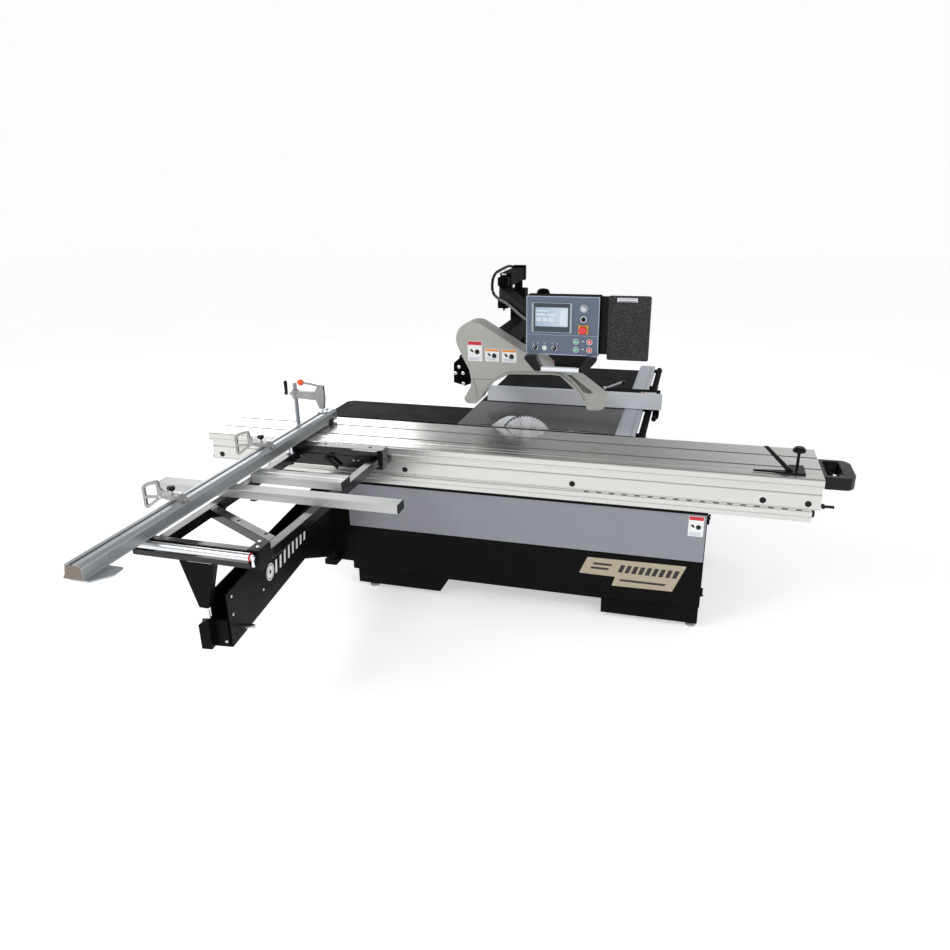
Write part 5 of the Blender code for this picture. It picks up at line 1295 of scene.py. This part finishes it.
def dress_fence():
    body = prism("y", FENCE_SECTION, -1.5195, 0.387)
    hollow = prism("y", [(-1.0745, 0.015), (-1.004, 0.015), (-1.004, 0.0555), (-1.065, 0.0555),
                         (-1.069, 0.032)], -1.55, 0.4)
    add("fence_extrusion", "fence", ALONG_Y, cut(body, hollow), instead_of=["crosscut_fence"], sharp=12)
    scale = [box(-1.0275, -1.0125, a, b, 0.069, 0.06985) for a, b in ((-1.5, -0.362), (-0.304, 0.195))]
    ticks = []
    for a, b in ((-1.49, -0.372), (-0.294, 0.185)):
        for i in range(int((b - a) / 0.01) + 1):
            y = a + 0.01 * i
            length = 0.009 if i % 10 == 0 else 0.0065 if i % 5 == 0 else 0.004
            ticks.append((box(-1.0265, -1.0265 + length, y - 0.0006, y + 0.0006, 0.0696, 0.07003), INK_AND_SHADE))
    add("fence_scale", "fence", ALONG_Y, *scale, *ticks)
    cap = prism("y", rounded(rectangle(-1.069, -0.9985, 0.0115, 0.057), 0.004), 0.3872, 0.3905)
    add("fence_far_cap", "fence", PLASTIC, cap, bevel=0.001)
    shoe = prism("y", rounded(rectangle(-1.002, -0.99, 0.0005, 0.03), 0.003), 0.29, 0.29 + 0.04)
    add("fence_clamp_shoe", "fence", PLASTIC, shoe, bevel=0.001)

    body = prism("y", FENCE_SECTION, -1.657, -1.5203)
    tongue = prism("y", rounded(rectangle(-1.0675, -1.005, 0.017, 0.0545), 0.003), -1.53, -0.9)
    add("fence_extension_section", "fence_end", ALONG_Y, body, tongue,
        instead_of=["fence_extension"], sharp=12)
    rest = rounded([(-1.062, -1.653), (-0.977, -1.654), (-0.928, -1.593), (-0.933, -1.53),
                    (-1.062, -1.53)], 0.006)
    add("fence_rest_plate", "fence_end", ALONG_Y, prism("z", rest, 0.0032, 0.0099), bevel=0.0008)
    # Painted shade: a thin brownish-grey sheet over the extension's end face, darker than the fence
    # because that face lies in shadow.
    end_shade_sheet = prism("y", [(-1.079, 0.012), (-0.999, 0.012), (-0.999, 0.055),
                            (-1.01, 0.066), (-1.063, 0.066), (-1.064, 0.056),
                            (-1.07, 0.03)], -1.6572, -1.658)
    add("fence_end_shade_sheet", "fence_end", brushed("fence_end_painted_shade", srgb(128, 120, 110), 0.42, "x"),
        end_shade_sheet)

    for number, y in ((1, -0.333), (2, -1.049)):
        body = prism("y", rounded([(-1.088, 0.0703), (-1.008, 0.0703), (-1.006, 0.076),
                                   (-1.014, 0.09), (-1.032, 0.092), (-1.088, 0.092)], 0.004),
                     y - 0.018, y + 0.018)
        hook = prism("y", rounded([(-1.01, 0.0705), (-0.994, 0.06), (-0.992, 0.068),
                                   (-1.004, 0.084)], 0.003), y - 0.014, y + 0.014)
        ear = prism("y", rounded(rectangle(-1.118, -1.084, 0.0745, 0.0915), 0.006), y - 0.018,
                    y + 0.018)
        pin = turned("y", -1.11, 0.083, [(0.0055, y - 0.021), (0.0055, y - 0.018), (0.004, y - 0.0175),
                                          (0.004, y + 0.0335)], 24)
        washer = turned("y", -1.11, 0.083, [(0.0075, y + 0.0308), (0.0075, y + 0.0335),
                                             (0.0045, y + 0.0345)], 24)
        add(f"stop_slider_{number}", f"stop_{number}", CAST, body, hook, ear,
            (pin, STEEL), (washer, STEEL), bevel=0.0012,
            instead_of=[f"flip_stop_slider_{number}"])
        stud = turned("z", -1.063, y, [(0.0085, 0.0915), (0.0085, 0.095), (0.0055, 0.096),
                                       (0.0055, 0.114)], 20)
        knob = star_knob("z", -1.063, y, 0.106, 1, 0.016, 0.022, 5)
        collar = star_knob("z", -1.022, y, 0.0905, 1, 0.011, 0.013, 5)
        add(f"stop_knob_{number}", f"stop_{number}", PLASTIC, (stud, STEEL), knob, (collar, STEEL),
            bevel=0.0008)
        loop = prism("y", rounded([(-1.228, 0.012), (-1.214, 0.0025), (-1.146, 0.052),
                                   (-1.12, 0.0745), (-1.101, 0.0745), (-1.101, 0.0915),
                                   (-1.128, 0.0935), (-1.14, 0.104), (-1.141, 0.132),
                                   (-1.156, 0.1365), (-1.207, 0.12), (-1.228, 0.1)], 0.006),
                     y + 0.0187, y + 0.0303)
        upper = prism("y", rounded([(-1.215, 0.062), (-1.153, 0.068), (-1.154, 0.121),
                                    (-1.202, 0.107), (-1.215, 0.094)], 0.005), y, y + 0.04)
        lower = prism("y", rounded([(-1.215, 0.022), (-1.209, 0.0205), (-1.16, 0.0565),
                                    (-1.215, 0.05)], 0.003), y, y + 0.04)
        bore = prism("y", circle(-1.11, 0.083, 0.0046, 24), y, y + 0.04)
        add(f"stop_loop_{number}", f"stop_arm_{number}", CAST, cut(loop, upper, lower, bore),
            bevel=0.0016, segments=3, instead_of=[f"flip_stop_arm_{number}"])


# ---------------------------------------------------------------- hold-down clamp
def dress_clamp():
    x, y, head = -1.115, 0.146, -0.96
    finish_node("clamp_post", POST_METAL, 0.0008)
    finish_node("clamp_arm", CAST, 0.0028, 3)
    finish_node("clamp_plunger", CHROME, 0.0006)
    cap = turned("z", x, y, [(0.011, 0.2755), (0.01, 0.2785), (0.006, 0.28)], 28)
    add("clamp_post_cap", "clamp_stand", CHROME, cap)
    nut = turned("z", head, y, [(0.019, 0.1115), (0.027, 0.1135), (0.0285, 0.118),
                                (0.025, 0.1225), (0.011, 0.1242)], 48, 8, 0.07)
    add("clamp_foot_nut", "clamp_foot", POST_METAL, nut)
    rod = tube([(head + 0.004, y, 0.26), (head - 0.02, y, 0.266), (head - 0.06, y, 0.2735),
                (head - 0.112, y, 0.2785)], 0.0062)
    cam = prism("y", rounded([(head + 0.01, 0.25), (head + 0.012, 0.262), (head - 0.004, 0.272),
                              (head - 0.024, 0.27), (head - 0.02, 0.252)], 0.004),
                y - 0.0044, y + 0.0044)
    ball = bmesh.new()
    bmesh.ops.create_uvsphere(ball, u_segments=32, v_segments=20, radius=0.0172)
    bmesh.ops.scale(ball, verts=ball.verts, vec=(1.12, 1.0, 1.0))
    bmesh.ops.translate(ball, verts=ball.verts, vec=(head - 0.118, y, 0.279))
    add("clamp_lever_rod", "clamp_handle", POST_METAL, rod, (cam, CAST), (from_bmesh(ball), ORANGE),
        instead_of=["clamp_lever"])
    shaft = turned("x", y, 0.214, [(0.005, x - 0.016), (0.005, x - 0.06), (0.0035, x - 0.062)], 20)
    hub = turned("x", y, 0.214, [(0.0085, x - 0.048), (0.0085, x - 0.064), (0.007, x - 0.065)], 24)
    grip = turned("z", x - 0.056, y, [(0.007, 0.206), (0.01, 0.214), (0.009, 0.218),
                                       (0.0086, 0.225), (0.0098, 0.256), (0.0106, 0.274),
                                       (0.0096, 0.282), (0.005, 0.2845)], 28)
    add("clamp_crank_handle", "clamp_winder", PLASTIC, (shaft, STEEL), hub, grip,
        instead_of=["clamp_crank"])


# ---------------------------------------------------------------- swing arm
SWING_PIVOT = (-0.9, 0.0)
SWING_END = (-0.7575, -1.264)
SWING_ANGLE = atan2(SWING_END[0] - SWING_PIVOT[0], SWING_PIVOT[1] - SWING_END[1])
SWING_LENGTH = hypot(SWING_END[0] - SWING_PIVOT[0], SWING_PIVOT[1] - SWING_END[1])
SWING_PLACE = turned_about(SWING_PIVOT, SWING_ANGLE)


def dress_swing_arm():
    finish_node("swing_arm_outer", BLACK, 0.002)
    finish_node("swing_arm_inner", BLACK, 0.002)
    end = -SWING_LENGTH
    side = []
    for y, z in ((end + 0.32, -0.372), (end + 0.04, -0.25), (end + 0.035, -0.33)):
        side.append(screw("x", y, z, 0.0375, 1, 0.007, 0.0035))
    stub = turned("x", end + 0.105, -0.425, [(0.0105, 0.0375), (0.0105, 0.078), (0.009, 0.088),
                                             (0.006, 0.089)], 28)
    add("swing_arm_bolts", "swing_outer", STEEL, *side, stub, place=SWING_PLACE)
    cap = turned("z", 0.0, 0.0, [(0.03, -0.244), (0.031, -0.2436), (0.031, -0.2432),
                                 (0.015, -0.2431)], 32)
    add("swing_pivot_washer", "swing_outer", STEEL, cap, place=SWING_PLACE)
    stripes = []
    for i in range(8):
        y = end + 0.455 + 0.05 * i
        z = -0.334
        stripes.append(prism("x", rounded([(y, z - 0.03), (y + 0.02, z - 0.03),
                                           (y + 0.032, z + 0.03), (y + 0.012, z + 0.03)], 0.002),
                             0.0374, 0.0379))
    stripes.append(ring_on_x(end + 0.405, -0.33, 0.04, 0.034, 0.0374, 0.0379))
    stripes.append(ring_on_x(end + 0.405, -0.33, 0.03, 0.01, 0.0374, 0.0379))
    add("swing_arm_stripes", "swing_outer", WHITE, *stripes, place=SWING_PLACE)
    bolts = [screw("y", x, z, end - 0.0098, -1, 0.0075, 0.0045)
             for x, z in ((-0.058, -0.372), (-0.058, -0.43), (0.018, -0.43))]
    add("swing_end_bolts", "swing_inner", STEEL, *bolts, place=SWING_PLACE)


# ---------------------------------------------------------------- rip fence
def dress_rip_fence():
    finish_node("rip_fence_head", MATT_BLACK, 0.004, 3)
    finish_node("rip_fence_lever", STEEL, 0.0015)
    outline = [(0.998, 0.0036), (1.0, 0.003), (1.03, 0.003), (1.03, 0.03), (1.027, 0.032),
               (1.027, 0.042), (1.03, 0.044), (1.03, 0.0935), (1.0285, 0.095), (0.9995, 0.095),
               (0.998, 0.0935), (0.998, 0.082), (0.9988, 0.0812), (0.9988, 0.08), (0.998, 0.0792),
               (0.998, 0.019), (0.9988, 0.0182), (0.9988, 0.017), (0.998, 0.0162)]
    body = prism("x", outline, -0.25, 0.813)
    chambers = [box(-0.27, 0.83, 1.002, 1.0235, z0, z1) for z0, z1 in ((0.007, 0.046), (0.05, 0.091))]
    add("rip_fence_extrusion", "rip_bar", FENCE_FACE, cut(body, *chambers), instead_of=["rip_fence"],
        sharp=12)
    cap = prism("x", rounded(rectangle(0.9985, 1.0295, 0.0038, 0.0945), 0.003), 0.8132, 0.815)
    add("rip_fence_cap", "rip_bar", cast_metal("fence_cap", srgb(170, 172, 172), 0.4), cap)
    window = prism("z", rounded(rectangle(0.69, 0.78, 1.034, 1.056), 0.003), 0.0912, 0.0945)
    dot = turned("z", 0.705, 1.045, [(0.007, 0.0944), (0.007, 0.096), (0.005, 0.0968)], 20)
    add("rip_pointer", "rip_head", WHITE, window, (dot, ORANGE), bevel=0.0005)
    end = rounded([(0.568, 0.134), (0.574, 0.13), (0.592, 0.14), (0.59, 0.152), (0.57, 0.149)], 0.003)
    add("rip_lever_grip", "rip_lever", PLASTIC, prism("y", end, 1.0755, 1.0905), bevel=0.0015)
    knob = star_knob("y", 0.78, -0.03, 0.9245, -1, 0.0155, 0.01, 5)
    add("rip_adjuster_knob", "rip_head", PLASTIC, knob, bevel=0.0006)


# ---------------------------------------------------------------- scene
def make_stage():
    shape = bmesh.new()
    bmesh.ops.create_grid(shape, x_segments=1, y_segments=1, size=20.0)
    mesh = bpy.data.meshes.new("floor")
    shape.to_mesh(mesh)
    shape.free()
    look = Look("floor", (0.9, 0.9, 0.905), 0.8, Emission_Color=(1.0, 1.0, 1.0, 1.0),
                Emission_Strength=0.48)
    look.tint(look.noise(0.8), 0.01)
    mesh.materials.append(look.material)
    floor = bpy.data.objects.new("floor", mesh)
    bpy.context.scene.collection.objects.link(floor)
    make_light("key", (-3.6, -4.4, 4.6), (-0.2, -0.3, 0.7), (2.4, 1.6), 110.0)
    make_light("fill", (3.8, -3.6, 3.4), (0.2, 0.0, 0.7), (2.0, 2.0), 35.0)
    make_light("rim", (-4.4, 5.2, 3.3), (-0.9, -0.5, 0.85), (3.6, 2.0), 60.0)


dress_cabinet()
dress_beam()
dress_tables()
dress_column()
dress_saw_unit()
dress_hood()
dress_boom()
dress_control_box()
dress_carriage()
dress_outrigger()
dress_fence()
dress_clamp()
dress_swing_arm()
dress_rip_fence()
make_stage()
bpy.context.scene.view_settings.view_transform = "Standard"
